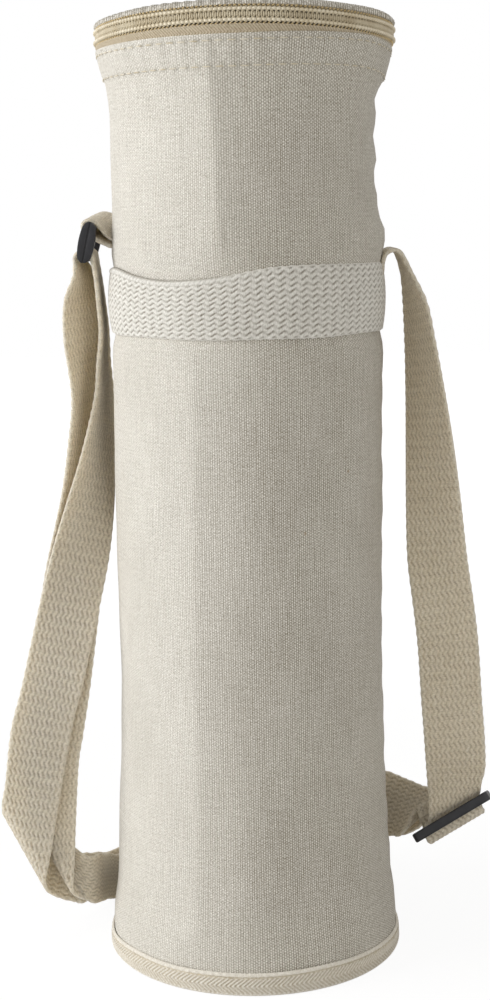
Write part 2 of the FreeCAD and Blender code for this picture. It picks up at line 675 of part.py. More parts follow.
plate = Part.makeBox(buckle_length, buckle_depth, buckle_thickness,
                     Vector(-buckle_length / 2, -buckle_depth / 2, -plate_half))
plate_corners = [edge for edge in plate.Edges if abs(edge.Vertexes[0].Z - edge.Vertexes[1].Z) > layer_gap]
plate = plate.makeFillet(buckle_round * 2, plate_corners)
window_half = buckle_depth / 2 - buckle_bar
window = Part.makeBox(buckle_slot_length, 2 * window_half, buckle_thickness + 2 * overrun,
                      Vector(-buckle_slot_length / 2, -window_half, -plate_half - overrun))
core = Part.makeCylinder(buckle_core_radius, buckle_length - buckle_bar,
                         Vector(-buckle_length / 2 + buckle_bar / 2, 0, 0), Vector(1, 0, 0))
plate = plate.cut(window)
outer_edges = [edge for edge in plate.Edges
               if edge.BoundBox.ZLength < layer_gap
               and max(abs(edge.BoundBox.YMin), abs(edge.BoundBox.YMax)) > window_half + layer_gap]
plate = plate.makeFillet(buckle_round, outer_edges)
save("strap_buckle", in_buckle_frame(plate.fuse(core)))
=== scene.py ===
# %% [markdown]
# # A canvas bottle carrier
# A soft, padded bag for one tall bottle: a canvas tube with a zipped round lid, a webbing
# band round its waist, and a long strap that runs through a plastic ring and a slide buckle.
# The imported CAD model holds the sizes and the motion. This lesson gives every soft solid
# its real cloth form, and every surface its finish, without moving anything.

# %% Load the frame
import math

import bpy
import numpy as np
from mathutils import Matrix, Vector


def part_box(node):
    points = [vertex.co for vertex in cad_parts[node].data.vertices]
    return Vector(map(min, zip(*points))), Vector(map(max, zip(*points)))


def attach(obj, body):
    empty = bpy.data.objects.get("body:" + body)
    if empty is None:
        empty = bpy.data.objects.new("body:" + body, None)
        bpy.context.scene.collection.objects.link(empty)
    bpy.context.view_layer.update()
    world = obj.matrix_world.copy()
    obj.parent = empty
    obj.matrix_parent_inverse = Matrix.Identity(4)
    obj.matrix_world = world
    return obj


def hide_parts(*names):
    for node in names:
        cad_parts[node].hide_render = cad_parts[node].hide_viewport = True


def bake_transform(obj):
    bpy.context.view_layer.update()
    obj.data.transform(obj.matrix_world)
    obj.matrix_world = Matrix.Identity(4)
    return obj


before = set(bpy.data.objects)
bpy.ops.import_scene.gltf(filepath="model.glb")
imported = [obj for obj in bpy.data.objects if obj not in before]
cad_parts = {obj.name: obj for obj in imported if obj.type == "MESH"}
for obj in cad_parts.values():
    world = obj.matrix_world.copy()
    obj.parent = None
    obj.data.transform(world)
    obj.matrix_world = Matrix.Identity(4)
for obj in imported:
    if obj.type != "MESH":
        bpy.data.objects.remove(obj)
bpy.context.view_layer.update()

mm = 0.001

# %% [markdown]
# ## The camera
# The photograph is taken from in front, at about four fifths of the bag's height, and close to it.
# Its place was found by fitting the bag's known edges. The optical axis meets the picture
# above its middle, which a lens shift gives, and the picture is turned by about 0.7 degrees.

# %% Camera
picture_height = 1000
focal_pixels = 1765.4
axis_row = 399.2
sensor = 36.0
camera_place = (-1.6 * mm, -734.7 * mm, 312.6 * mm)
camera_pitch = math.radians(90 - 6.2)
camera_roll = -0.0127

camera_data = bpy.data.cameras.new("camera")
camera_data.sensor_width = sensor
camera_data.lens = focal_pixels / picture_height * sensor
camera_data.shift_y = (axis_row - picture_height / 2) / picture_height
camera = bpy.data.objects.new("camera", camera_data)
bpy.context.scene.collection.objects.link(camera)
camera.matrix_world = (Matrix.Translation(camera_place) @ Matrix.Rotation(camera_pitch, 4, "X")
                       @ Matrix.Rotation(camera_roll, 4, "Z"))
bpy.context.scene.camera = camera
bpy.context.scene.view_settings.view_transform = "Standard"
print("lens", round(camera_data.lens, 2), "mm, shift", round(camera_data.shift_y, 4))

# %% [markdown]
# ## Small tools for the bench
# An operator acts on whatever is selected, so each step first clears the selection. A node
# tree is easier to read when one short helper adds a node and feeds its sockets.

# %% Selection and nodes
def deselect_all():
    if bpy.context.mode != "OBJECT":
        bpy.ops.object.mode_set(mode="OBJECT")
    bpy.ops.object.select_all(action="DESELECT")


def activate(piece):
    deselect_all()
    piece.select_set(True)
    bpy.context.view_layer.objects.active = piece


def colour(red, green, blue):
    """A screen colour, 0 to 255, as the linear colour that a shader takes."""
    return tuple((value / 255) ** 2.2 for value in (red, green, blue)) + (1.0,)


def add(tree, kind, feeds=None, **settings):
    """Adds a node, sets its options and feeds its sockets with values or links."""
    node = tree.nodes.new(kind)
    for key, value in settings.items():
        setattr(node, key, value)
    for socket, value in (feeds or {}).items():
        if isinstance(value, bpy.types.NodeSocket):
            tree.links.new(value, node.inputs[socket])
        else:
            node.inputs[socket].default_value = value
    return node


def sums(tree, operation, first, second=0.0, third=0.0):
    feeds = {0: first, 1: second, 2: third}
    return add(tree, "ShaderNodeMath", feeds, operation=operation).outputs[0]


def spread(tree, value, low, high, to_low=0.0, to_high=1.0):
    """Stretches a value from one range to another, and holds it there."""
    feeds = {"Value": value, "From Min": low, "From Max": high, "To Min": to_low, "To Max": to_high}
    return add(tree, "ShaderNodeMapRange", feeds).outputs["Result"]


def blend_colours(tree, factor, first, second):
    feeds = {0: factor, 6: first, 7: second}
    return add(tree, "ShaderNodeMix", feeds, data_type="RGBA").outputs[2]


def noise(tree, place, stretch, detail=2.0):
    """Noise on stretched coordinates: a larger number means finer grain that way."""
    scaled = add(tree, "ShaderNodeVectorMath", {0: place, 1: stretch}, operation="MULTIPLY").outputs[0]
    feeds = {"Vector": scaled, "Scale": 1.0, "Detail": detail}
    return add(tree, "ShaderNodeTexNoise", feeds).outputs["Fac"]


def new_finish(name):
    finish = bpy.data.materials.new(name)
    finish.use_nodes = True
    finish.node_tree.nodes.clear()
    return finish, finish.node_tree


# %% [markdown]
# ## Light, floor and background
# The bag stands on white paper in soft daylight from the left. One big area lamp gives that
# side its brightness, and a weak fill keeps the right side readable. The world is white to
# the camera and to reflections, and a calm grey to everything else.

# %% Light and floor
def area_lamp(name, place, target, width, height, watts, tint=(1, 1, 1)):
    data = bpy.data.lights.new(name, "AREA")
    data.shape = "RECTANGLE"
    data.size = width
    data.size_y = height
    data.energy = watts
    data.color = tint
    lamp = bpy.data.objects.new(name, data)
    bpy.context.scene.collection.objects.link(lamp)
    way = Vector(target) - Vector(place)
    lamp.matrix_world = Matrix.Translation(place) @ way.to_track_quat("-Z", "Y").to_matrix().to_4x4()


area_lamp("window", place=(-1.55, -0.42, 0.5), target=(0, 0, 0.18), width=1.1, height=1.6, watts=23.8)
area_lamp("fill", place=(1.3, -1.5, 0.9), target=(0, 0, 0.2), width=1.4, height=1.4, watts=4.9,
          tint=(1.0, 0.95, 0.86))
ambient_strength = 0.45
glow_strength = 1.08
near_floor, far_floor = 0.3, 1.2
near_white = 0.84

world = bpy.data.worlds.new("studio")
bpy.context.scene.world = world
world.use_nodes = True
tree = world.node_tree
tree.nodes.clear()
rays = add(tree, "ShaderNodeLightPath")
seen = sums(tree, "ADD", rays.outputs["Is Camera Ray"], rays.outputs["Is Glossy Ray"])
seen = sums(tree, "MINIMUM", sums(tree, "ADD", seen, rays.outputs["Is Transmission Ray"]), 1.0)
paper = add(tree, "ShaderNodeBackground", {"Color": (1, 1, 1, 1), "Strength": 1.0})
ambient_feeds = {"Color": (1.0, 0.98, 0.94, 1), "Strength": ambient_strength}
ambient = add(tree, "ShaderNodeBackground", ambient_feeds)
either = add(tree, "ShaderNodeMixShader", {0: seen, 1: ambient.outputs[0], 2: paper.outputs[0]})
add(tree, "ShaderNodeOutputWorld", {"Surface": either.outputs[0]})

deselect_all()
floor_size = 6.0
bpy.ops.mesh.primitive_plane_add(size=floor_size, location=(0, 0, 0))
floor = bpy.context.object
floor.name = "floor"
floor_finish, tree = new_finish("white_paper")
rays = add(tree, "ShaderNodeLightPath")
spot = add(tree, "ShaderNodeTexCoord").outputs["Object"]
grain = noise(tree, spot, (90, 90, 90))
tint = blend_colours(tree, grain, colour(240, 240, 240), colour(246, 246, 246))
matt = add(tree, "ShaderNodeBsdfDiffuse", {"Color": tint})
glow = add(tree, "ShaderNodeEmission", {"Color": (1, 1, 1, 1), "Strength": glow_strength})
distance = add(tree, "ShaderNodeVectorMath", {0: spot}, operation="LENGTH").outputs["Value"]
whiteness = spread(tree, distance, near_floor, far_floor, near_white, 1.0)
whiter = sums(tree, "MULTIPLY", rays.outputs["Is Camera Ray"], whiteness)
either = add(tree, "ShaderNodeMixShader", {0: whiter, 1: matt.outputs[0], 2: glow.outputs[0]})
add(tree, "ShaderNodeOutputMaterial", {"Surface": either.outputs[0]})
floor.data.materials.append(floor_finish)
print("two lamps, a white world and a paper floor")

# %% [markdown]
# ## Node groups that the cloths share
# Every cloth here is cotton: two sets of yarns that cross, yarns that vary in thickness, and
# flecks of seed left in the fibre. Each effect is built once as a group. All of them read
# the cloth's own UV map, which holds its flat size in metres, so a yarn has its real width.

# %% Shared groups
def new_group(name, inputs, outputs):
    group = bpy.data.node_groups.new(name, "ShaderNodeTree")
    for label, kind, value in inputs:
        socket = group.interface.new_socket(label, in_out="INPUT", socket_type=kind)
        if value is not None:
            socket.default_value = value
    for label, kind in outputs:
        group.interface.new_socket(label, in_out="OUTPUT", socket_type=kind)
    return group, group.nodes.new("NodeGroupInput").outputs, group.nodes.new("NodeGroupOutput")


def yarn_wave(tree, place, pitch):
    """A wave with one crest or trough for each yarn."""
    turns = sums(tree, "MULTIPLY", sums(tree, "DIVIDE", place, pitch), math.pi)
    return sums(tree, "SINE", turns)


number, vector = "NodeSocketFloat", "NodeSocketVector"
weave, given, result = new_group(
    "plain_weave",
    [("Place", vector, None), ("Warp Pitch", number, 0.0006), ("Weft Pitch", number, 0.0006),
     ("Wander", number, 0.0005)],
    [("Height", number)])
sway_x = sums(weave, "SUBTRACT", noise(weave, given["Place"], (900, 60, 1)), 0.5)
sway_y = sums(weave, "SUBTRACT", noise(weave, given["Place"], (60, 900, 1)), 0.5)
flat = add(weave, "ShaderNodeSeparateXYZ", {0: given["Place"]}).outputs
warp_x = sums(weave, "MULTIPLY_ADD", sway_x, given["Wander"], flat[0])
weft_y = sums(weave, "MULTIPLY_ADD", sway_y, given["Wander"], flat[1])
warp = yarn_wave(weave, warp_x, given["Warp Pitch"])
weft = yarn_wave(weave, weft_y, given["Weft Pitch"])
crossing = 0.31
over = spread(weave, sums(weave, "MULTIPLY", warp, weft), -0.5, 0.5, -crossing, crossing)
warp_level = sums(weave, "ADD", 1 - crossing, over)
weft_level = sums(weave, "MULTIPLY_ADD", over, -0.3, 0.25)
warp_height = sums(weave, "MULTIPLY", sums(weave, "ABSOLUTE", warp), warp_level)
weft_height = sums(weave, "MULTIPLY", sums(weave, "ABSOLUTE", weft), weft_level)
weave.links.new(sums(weave, "MAXIMUM", warp_height, weft_height), result.inputs["Height"])

slubs, given, result = new_group(
    "uneven_yarn",
    [("Place", vector, None)],
    [("Warp", number), ("Weft", number), ("Cloud", number)])
for label, stretch in (("Warp", (1900, 55, 1)), ("Weft", (75, 1700, 1)), ("Cloud", (34, 26, 1))):
    slubs.links.new(noise(slubs, given["Place"], stretch, 3.0), result.inputs[label])

flecks, given, result = new_group(
    "seed_flecks",
    [("Place", vector, None), ("Share", number, 0.2)],
    [("Mask", number)])
scattered = add(flecks, "ShaderNodeVectorMath", {0: given["Place"], 1: (95, 80, 1)}, operation="MULTIPLY")
cells = add(flecks, "ShaderNodeTexVoronoi", {"Vector": scattered.outputs[0], "Scale": 1.0})
near = spread(flecks, cells.outputs["Distance"], 0.02, 0.085, 1.0, 0.0)
lot = add(flecks, "ShaderNodeSeparateColor", {0: cells.outputs["Color"]}).outputs[0]
chosen = sums(flecks, "LESS_THAN", lot, given["Share"])
flecks.links.new(sums(flecks, "MULTIPLY", near, chosen), result.inputs["Mask"])
print("groups:", [group.name for group in bpy.data.node_groups])

# %% [markdown]
# ## Finishes
# Canvas, webbing, tape and lining differ in colour, yarn width and how far the weave stands
# out, so one function makes them all from those values. The gaps of the weave are painted
# darker: painted shade between the yarns. The webbing, the tapes and the binding also carry their
# own relief in the mesh: a point attribute tells the shader how high a spot lies, and the depths
# get the darker colour as painted shade. On the canvas the same attribute tells how far a spot
# faces the window, and the painted shade in the weave's gaps is weaker there.

# %% Cloth finishes
yarn_shade = 0.2           # how far thick and thin yarns darken the cloth
cloud_shade = 0.05         # the same for broad clouds
fibre_shade = 0.12         # and for single fibres, which also lighten it
fleck_strength = 0.55
weave_depth = 0.35 * mm


def place_group(tree, group, feeds):
    return add(tree, "ShaderNodeGroup", feeds, node_tree=group).outputs


def mesh_relief(tree):
    return add(tree, "ShaderNodeAttribute", attribute_name="relief").outputs["Fac"]


def close_finish(tree, tint, roughness, height, bump, depth, **constants):
    """The shader itself: colour and roughness from the pattern, a bump from its height."""
    relief = add(tree, "ShaderNodeBump", {"Strength": bump, "Distance": depth, "Height": height})
    feeds = {"Base Color": tint, "Roughness": roughness, "Normal": relief.outputs[0]}
    shader = add(tree, "ShaderNodeBsdfPrincipled", feeds)
    for label, value in constants.items():
        shader.inputs[label.replace("_", " ")].default_value = value
    add(tree, "ShaderNodeOutputMaterial", {"Surface": shader.outputs[0]})


def cloth_finish(name, pale, dark, fleck, warp, weft, weave_share, fleck_share=0.05, hollow_shade_share=0.0,
                 bump=0.4, lit_share=0.0, **constants):
    finish, tree = new_finish(name)
    place = add(tree, "ShaderNodeTexCoord").outputs["UV"]
    woven = place_group(tree, weave, {"Place": place, "Warp Pitch": warp, "Weft Pitch": weft})
    yarn = place_group(tree, slubs, {"Place": place})
    specks = place_group(tree, flecks, {"Place": place, "Share": fleck_share})
    uneven = sums(tree, "MULTIPLY_ADD", yarn["Weft"], 0.45, sums(tree, "MULTIPLY", yarn["Warp"], 0.55))
    # The darker weave gaps are painted shade between the yarns.
    gaps = spread(tree, woven["Height"], 0.12, 0.84, 1.0, 0.0)
    if lit_share > 0:
        paler = spread(tree, mesh_relief(tree), 0.0, 1.0, 1.0, 1.0 - lit_share)
        gaps = sums(tree, "MULTIPLY", gaps, paler)
    shade = sums(tree, "MULTIPLY_ADD", spread(tree, uneven, 0.34, 0.66), yarn_shade,
                 sums(tree, "MULTIPLY", gaps, weave_share))
    shade = sums(tree, "MULTIPLY_ADD", spread(tree, yarn["Cloud"], 0.35, 0.65), cloud_shade, shade)
    fibres = noise(tree, place, (1300, 1000, 1), 1.0)
    shade = sums(tree, "ADD", spread(tree, fibres, 0.3, 0.7, -fibre_shade, fibre_shade), shade)
    # Painted shade: the hollows of the mesh relief take the dark colour.
    if hollow_shade_share > 0:
        hollow = spread(tree, mesh_relief(tree), 0.15, 0.9, 1.0, 0.0)
        shade = sums(tree, "MULTIPLY_ADD", hollow, hollow_shade_share, shade)
    tint = blend_colours(tree, spread(tree, shade, 0.0, 1.0), pale, dark)
    tint = blend_colours(tree, sums(tree, "MULTIPLY", specks["Mask"], fleck_strength), tint, fleck)
    roughness = spread(tree, uneven, 0.3, 0.7, 0.82, 0.95)
    height = sums(tree, "MULTIPLY_ADD", uneven, 0.5, woven["Height"])
    close_finish(tree, tint, roughness, height, bump, weave_depth, Specular_IOR_Level=0.2,
                 Sheen_Weight=0.08, **constants)
    return finish


webbing_yarns = {"warp": 0.42 * mm, "weft": 0.95 * mm, "weave_share": 0.1}
see_through = {"Subsurface_Weight": 0.5, "Subsurface_Radius": (1.0, 0.88, 0.72),
               "Subsurface_Scale": 6 * mm}
canvas = cloth_finish("oat_canvas", colour(254, 251, 243), colour(118, 106, 82), colour(150, 122, 78),
                      warp=0.9 * mm, weft=0.53 * mm, weave_share=0.66, fleck_share=0.1, bump=0.8,
                      lit_share=0.48)
band_cloth = cloth_finish("band_webbing", colour(251, 249, 243), colour(108, 97, 75), colour(140, 112, 72),
                          hollow_shade_share=0.56, **webbing_yarns)
# The strap has the band's webbing, painted darker and warmer: painted shade and warm bounce light.
webbing = cloth_finish("strap_webbing_painted_shade", colour(238, 227, 208), colour(116, 101, 76), colour(140, 112, 72),
                       hollow_shade_share=0.36, **webbing_yarns, **see_through)
binding_cloth = cloth_finish("twill_binding", colour(254, 250, 241), colour(180, 165, 136),
                             colour(150, 120, 80), warp=0.4 * mm, weft=0.4 * mm, weave_share=0.1,
                             hollow_shade_share=0.5)
tape_cloth = cloth_finish("zip_tape_cloth", colour(228, 216, 193), colour(138, 120, 90),
                          colour(150, 124, 84), warp=0.35 * mm, weft=0.5 * mm, weave_share=0.1,
                          hollow_shade_share=0.6)
lining_cloth = cloth_finish("coated_lining", colour(226, 222, 212), colour(196, 190, 176),
                            colour(176, 166, 146), warp=0.3 * mm, weft=0.3 * mm, weave_share=0.4, bump=0.2)
print("finishes so far:", [finish.name for finish in bpy.data.materials])

# %% [markdown]
# ## Plastic, metal, foam and thread
# The ring and the buckle are moulded in black plastic with a fine matt grain, rubbed a little
# lighter where they are handled. The zip's coil is a smooth cream monofilament; a darker copy of
# its cream paints the shade on the coil's turns, its cord and the heads between the coils. The
# slider is plated metal with a faint brushed grain. Foam shows its cells, and thread its twist.

# %% Hard finishes, foam and thread
def grain_finish(name, base, other, stretch, rough, bump, depth, **constants):
    finish, tree = new_finish(name)
    place = add(tree, "ShaderNodeTexCoord").outputs["Object"]
    fine = noise(tree, place, stretch, 4.0)
    broad = noise(tree, place, tuple(value * 0.08 for value in stretch), 2.0)
    tint = blend_colours(tree, spread(tree, broad, 0.35, 0.7), base, other)
    roughness = spread(tree, fine, 0.3, 0.7, rough[0], rough[1])
    close_finish(tree, tint, roughness, fine, bump, depth, **constants)
    return finish


black_plastic = grain_finish("black_plastic", colour(26, 26, 30), colour(40, 40, 44), (2600, 2600, 2600),
                             rough=(0.38, 0.55), bump=0.25, depth=0.06 * mm, Specular_IOR_Level=0.5)
coil_nylon = grain_finish("cream_coil", colour(234, 224, 201), colour(216, 202, 172), (1500, 1500, 1500),
                          rough=(0.3, 0.45), bump=0.1, depth=0.05 * mm, Specular_IOR_Level=0.5)
# Painted shade: a darker copy of the cream coil for the shaded turns, cords and heads.
coil_painted_shade = grain_finish("coil_nylon_painted_shade", colour(210, 199, 174), colour(190, 176, 148), (1500, 1500, 1500),
                          rough=(0.4, 0.55), bump=0.1, depth=0.05 * mm, Specular_IOR_Level=0.4)
zip_metal = grain_finish("plated_metal", colour(196, 190, 178), colour(168, 160, 146), (4200, 4200, 500),
                         rough=(0.22, 0.4), bump=0.15, depth=0.04 * mm, Metallic=1.0)
foam_cells = grain_finish("closed_cell_foam", colour(232, 230, 224), colour(212, 208, 200),
                          (900, 900, 900), rough=(0.8, 0.95), bump=0.5, depth=0.2 * mm,
                          Specular_IOR_Level=0.2)
thread = grain_finish("cotton_thread", colour(233, 226, 210), colour(204, 192, 166), (3000, 3000, 3000),
                      rough=(0.7, 0.9), bump=0.3, depth=0.08 * mm, Specular_IOR_Level=0.25)
# A darker golden thread: its colour paints the shade under the coil's edge.
coil_stitch_painted_shade = grain_finish("golden_thread_painted_shade", colour(226, 206, 162), colour(200, 176, 128),
                           (3000, 3000, 3000), rough=(0.6, 0.8), bump=0.3, depth=0.08 * mm,
                           Specular_IOR_Level=0.3)
print("finishes in all:", len(bpy.data.materials))

# %% [markdown]
# ## How a cloth is laid out
# A real cloth starts flat on the cutting table. Here it starts as a grid, cut into columns
# and rows. Every point is then carried to its place on the bag, and its flat size stays in
# the UV map, in metres. A tube is closed at its seam by merging the two edges that meet.

# %% Cloth tools
seam_reach = 0.002 * mm


def lay_cloth(name, places, along, across, relief=None, cap=False):
    columns = places.shape[0] - 1
    rows = places.shape[1] - 1
    deselect_all()
    bpy.ops.mesh.primitive_grid_add(x_subdivisions=columns, y_subdivisions=rows, size=1)
    piece = bpy.context.object
    piece.name = name
    mesh = piece.data
    mesh.name = name
    flat = np.empty(len(mesh.vertices) * 3)
    mesh.vertices.foreach_get("co", flat)
    flat = flat.reshape(-1, 3) + 0.5
    column = np.rint(flat[:, 0] * columns).astype(int)
    row = np.rint(flat[:, 1] * rows).astype(int)
    mesh.vertices.foreach_set("co", places[column, row].astype(np.float32).ravel())
    corner = np.empty(len(mesh.loops), np.int32)
    mesh.loops.foreach_get("vertex_index", corner)
    size = np.stack([along[column, row], across[column, row]], 1)
    mesh.uv_layers[0].data.foreach_set("uv", size[corner].astype(np.float32).ravel())
    if relief is not None:
        depth = mesh.attributes.new("relief", "FLOAT", "POINT")
        depth.data.foreach_set("value", relief[column, row].astype(np.float32))
    mesh.update()
    sew_up(piece, cap)
    return piece


def sew_up(piece, cap=False):
    """Merges the edges that meet, closes open ends and turns the faces outwards."""
    activate(piece)
    bpy.ops.object.mode_set(mode="EDIT")
    bpy.ops.mesh.select_all(action="SELECT")
    bpy.ops.mesh.remove_doubles(threshold=seam_reach)
    if cap:
        bpy.ops.mesh.select_all(action="SELECT")
        bpy.ops.mesh.fill_holes(sides=0)
    bpy.ops.mesh.select_all(action="SELECT")
    bpy.ops.mesh.normals_make_consistent(inside=False)
    bpy.ops.object.mode_set(mode="OBJECT")


def thicken(piece, thickness, offset=-1.0):
    activate(piece)
    wall = piece.modifiers.new("thickness", "SOLIDIFY")
    wall.thickness = thickness
    wall.offset = offset
    bpy.ops.object.modifier_apply(modifier=wall.name)


def dress(piece, finish, body=None, nodes=(), angle=60):
    """Gives a finished piece its material, its body and the CAD nodes that it stands for."""
    piece.data.materials.clear()
    piece.data.materials.append(finish)
    activate(piece)
    bpy.ops.object.shade_smooth_by_angle(angle=math.radians(angle))
    if body:
        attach(piece, body)
    if nodes:
        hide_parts(*nodes)
    print(piece.name, "-", len(piece.data.polygons), "faces")
    return piece


# %% [markdown]
# ## The wall of the bag
# The canvas is a tube that swells towards the base and leans out to the mouth. It is soft, so
# it isn't round: it has a gentle corner in front, flats beside it, puckers along the side
# seam, a pinch under the band and a little unevenness everywhere. One function gives all
# that, and every layer of the wall uses it at its own depth, so the layers never cross.

# %% Sizes, most of them read from the frame
webbing_width = 25.0 * mm
webbing_thickness = 1.6 * mm
layer_gap = 0.1 * mm
canvas_thickness = 0.9 * mm
foam_thickness = 3.0 * mm
lining_thickness = 0.5 * mm
band_low, band_top = (corner.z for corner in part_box("waist_band"))
waist_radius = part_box("waist_band")[1].x - webbing_thickness - layer_gap
wall_floor, hem_top = (corner.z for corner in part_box("outer_shell"))
foot_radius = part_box("outer_shell")[1].x
base_flare = foot_radius - waist_radius
base_flare_height = 108.0 * mm
mouth_flare = 4.3 * mm
mouth_flare_height = 28.0 * mm
print("waist radius", round(waist_radius / mm, 2), "hem at", round(hem_top / mm, 1), "mm")


# %% Shape of the wall
front_angle = -math.pi / 2
upper_corner = -100              # the soft corner in front, in degrees, above and below the band
lower_corner = -113
corner_lean = 4.5
crease_half = math.radians(14)
crease_blunt = math.radians(0.9)
settle = 18.0 * mm               # how far from the band the cloth has its own form again
pucker_pitch = 16.3 * mm
pucker_level = 349.0 * mm
seam_angle = math.radians(10)
window_angle = math.radians(-165)
mouth_rise = 3.0 * mm            # the soft mouth stands up a little at the front
rise_start = 335.0 * mm

# How far each effect moves the cloth in or out, in millimetres
facet_depth = 0.42
crease_above, crease_below = 1.75, 1.1
seam_puckers, seam_fullness, low_puckers = 0.95, 0.55, 0.25
left_hollow, right_hollow = 0.7, 2.9
foot_swell = 1.0
base_fullness = 0.5
broad_waves, fine_waves = 0.34, 0.12
band_pinch, band_bulge = 1.6, 0.55


def smooth(share):
    share = np.clip(share, 0, 1)
    return share * share * (3 - 2 * share)


def swell(distance, width):
    return np.exp(-(distance / width) ** 2)


def turn_from(angle, middle):
    return (angle - middle + math.pi) % (2 * math.pi) - math.pi


def near_angle(angle, middle, reach):
    """1 at an angle, given in degrees, and less and less away from it."""
    return swell(turn_from(angle, math.radians(middle)), math.radians(reach))


def wall_radius(z):
    low = np.clip((wall_floor + base_flare_height - z) / base_flare_height, 0, None)
    high = np.clip((z - hem_top + mouth_flare_height) / mouth_flare_height, 0, None)
    return waist_radius + base_flare * low ** 2 + mouth_flare * high ** 2


def round_profile(angle, turns, values):
    """A soft line through values given at some angles, in degrees, round the bag."""
    total = 0 * angle
    offsets = np.linspace(-7, 7, 9)
    for offset in offsets:
        total = total + np.interp(np.degrees(angle) + offset, turns, values, period=360)
    return total / len(offsets)


def front_rise(angle, z):
    turn = angle - front_angle
    share = 0.15 + 0.5 * np.cos(turn) + 0.35 * np.cos(2 * turn)
    return mouth_rise * share * smooth((z - rise_start) / (hem_top - rise_start))


def unevenness(angle, z, seed, count, finest):
    """Waves that close round the tube, drawn in a fixed order."""
    draw = np.random.default_rng(seed)
    total = np.zeros(np.broadcast(angle, z).shape)
    for _ in range(count):
        turns = draw.integers(0, 9)
        rows = draw.uniform(-1, 1) * 2 * math.pi / finest
        total = total + np.sin(turns * angle + rows * z + draw.uniform(0, 2 * math.pi))
    return total / math.sqrt(count)


def softness(angle, z):
    """How far the wall leaves its round outline."""
    above = smooth((z - band_top) / settle)
    below = smooth((band_low - z) / settle)
    lean = corner_lean * (z - band_top) / (hem_top - band_top)
    corner = np.where(z > band_top, np.radians(upper_corner - lean), math.radians(lower_corner))
    turn = turn_from(angle, corner)
    blunt = np.sqrt(turn ** 2 + crease_blunt ** 2)
    crease = np.clip(1 - blunt / crease_half, 0, 1) ** 2
    facets = facet_depth * np.cos(5 * turn) + (crease_above * above + crease_below * below) * crease
    by_seam = near_angle(angle, 4, 15)
    puckers = np.cos(2 * math.pi * (z - pucker_level) / pucker_pitch)
    seam = by_seam * (above * (seam_puckers * puckers + seam_fullness) + below * low_puckers * puckers)
    left_flat = -left_hollow * above * near_angle(angle, 180, 40)
    right_high = smooth((z - 303 * mm) / (14 * mm)) * (1 - 0.8 * smooth((z - 352 * mm) / (20 * mm)))
    right_flat = -right_hollow * right_high * near_angle(angle, -4, 34)
    foot = foot_swell * swell(z - 15 * mm, 9 * mm)
    pinch = smooth((z - band_low + 5 * mm) / (7 * mm)) * smooth((band_top + 5 * mm - z) / (7 * mm))
    bulge = swell(z - band_top - 13 * mm, 9 * mm) + swell(z - band_low + 13 * mm, 9 * mm)
    fullness = base_fullness * smooth((70 * mm - z) / (60 * mm)) * np.sin(7 * angle + 1.1)
    waves = (broad_waves * unevenness(angle, z, 4, 9, 120 * mm)
             + fine_waves * unevenness(angle, z, 9, 8, 30 * mm))
    loose = (facets + seam + left_flat + fullness + waves) * (1 - pinch)
    loose = loose - band_pinch * pinch + band_bulge * bulge
    free = smooth((hem_top - 2 * mm - z) / (14 * mm)) * smooth((z - wall_floor - 4 * mm) / (20 * mm))
    return (loose * free + right_flat + foot) * mm


def round_places(angle, radius, z):
    return np.stack([radius * np.cos(angle), radius * np.sin(angle), z], -1)


def wall_places(angle, z, depth, extra=0.0):
    radius = wall_radius(z) + softness(angle, z) - depth + extra
    return round_places(angle, radius, z + front_rise(angle, z))


def round_grid(columns, levels, start=seam_angle, sweep=2 * math.pi):
    angles = start + sweep * np.arange(columns + 1) / columns
    return np.meshgrid(angles, levels, indexing="ij")


# %% [markdown]
# ## The canvas
# The canvas is cut as one panel, rolled into a tube and closed at the side. Its top edge is
# turned in and held by two rows of stitches, 9 mm apart. The thread pulls the cloth down, so
# each stitch sits in its own dimple, and the cloth puffs up between the rows.

# %% Canvas body
stitch_pitch = 5.0 * mm
hem_height = 12.0 * mm
hem_swell = 0.6                  # in millimetres, like the next three
stitch_pull = 0.7
hem_puff = 0.2
edge_round = 0.6
hem_turns = [-180, -145, -110, -90, -60, -38, -15, 10, 40, 90]
hem_tilts = [2.4, 1.3, 0.3, 0.3, 2.0, 3.2, 2.6, 1.2, 0.4, 0.6]
hem_rows = (hem_top - 2.4 * mm, hem_top - 11.4 * mm)
hem_stitches = round(2 * math.pi * wall_radius(hem_top) / stitch_pitch)


def hem_relief(angle, z):
    inside = smooth((z - hem_top + hem_height + 0.6 * mm) / (1.2 * mm))
    relief = hem_swell * inside * np.ones_like(angle)
    pull = 0.55 - 0.45 * np.cos(hem_stitches * angle)
    for row in hem_rows:
        relief -= stitch_pull * pull * swell(z - row, 0.9 * mm)
    puffs = np.cos(round(hem_stitches / 2) * angle + 0.4)
    relief += hem_puff * swell(z - sum(hem_rows) / 2, 3.5 * mm) * puffs
    relief -= edge_round * swell(z - hem_top, 0.6 * mm)
    return relief * mm


def canvas_places(angle, z, extra):
    """The canvas alone: its hem climbs towards the right and covers the tape there."""
    tilt = mm * round_profile(angle, hem_turns, hem_tilts)
    raised = z + tilt * smooth((z - rise_start) / (hem_top - rise_start))
    return wall_places(angle, raised, 0.0, extra)


hem_start = hem_top - 15 * mm
wall_levels = np.concatenate([np.linspace(wall_floor, hem_start, 76, endpoint=False),
                              np.linspace(hem_start, hem_top, 30)])
angle, z = round_grid(6 * hem_stitches, wall_levels)
facing = smooth(np.cos(angle - window_angle) / 0.8)  # 1 where the window fills the gaps with light
body_canvas = lay_cloth("canvas_body", canvas_places(angle, z, hem_relief(angle, z)),
                        angle * waist_radius, z, facing)
thicken(body_canvas, canvas_thickness)
dress(body_canvas, canvas, "bag", ["outer_shell"])

# %% [markdown]
# ## Padding and lining of the wall
# Behind the canvas lie a sheet of closed-cell foam and a thin coated lining. They show only
# when the lid is open, but the bag needs them to stand and to keep a bottle cool. Both are
# the canvas's own form at a greater depth. The lining steps out over the foam's top edge and
# runs up behind the zip tape.

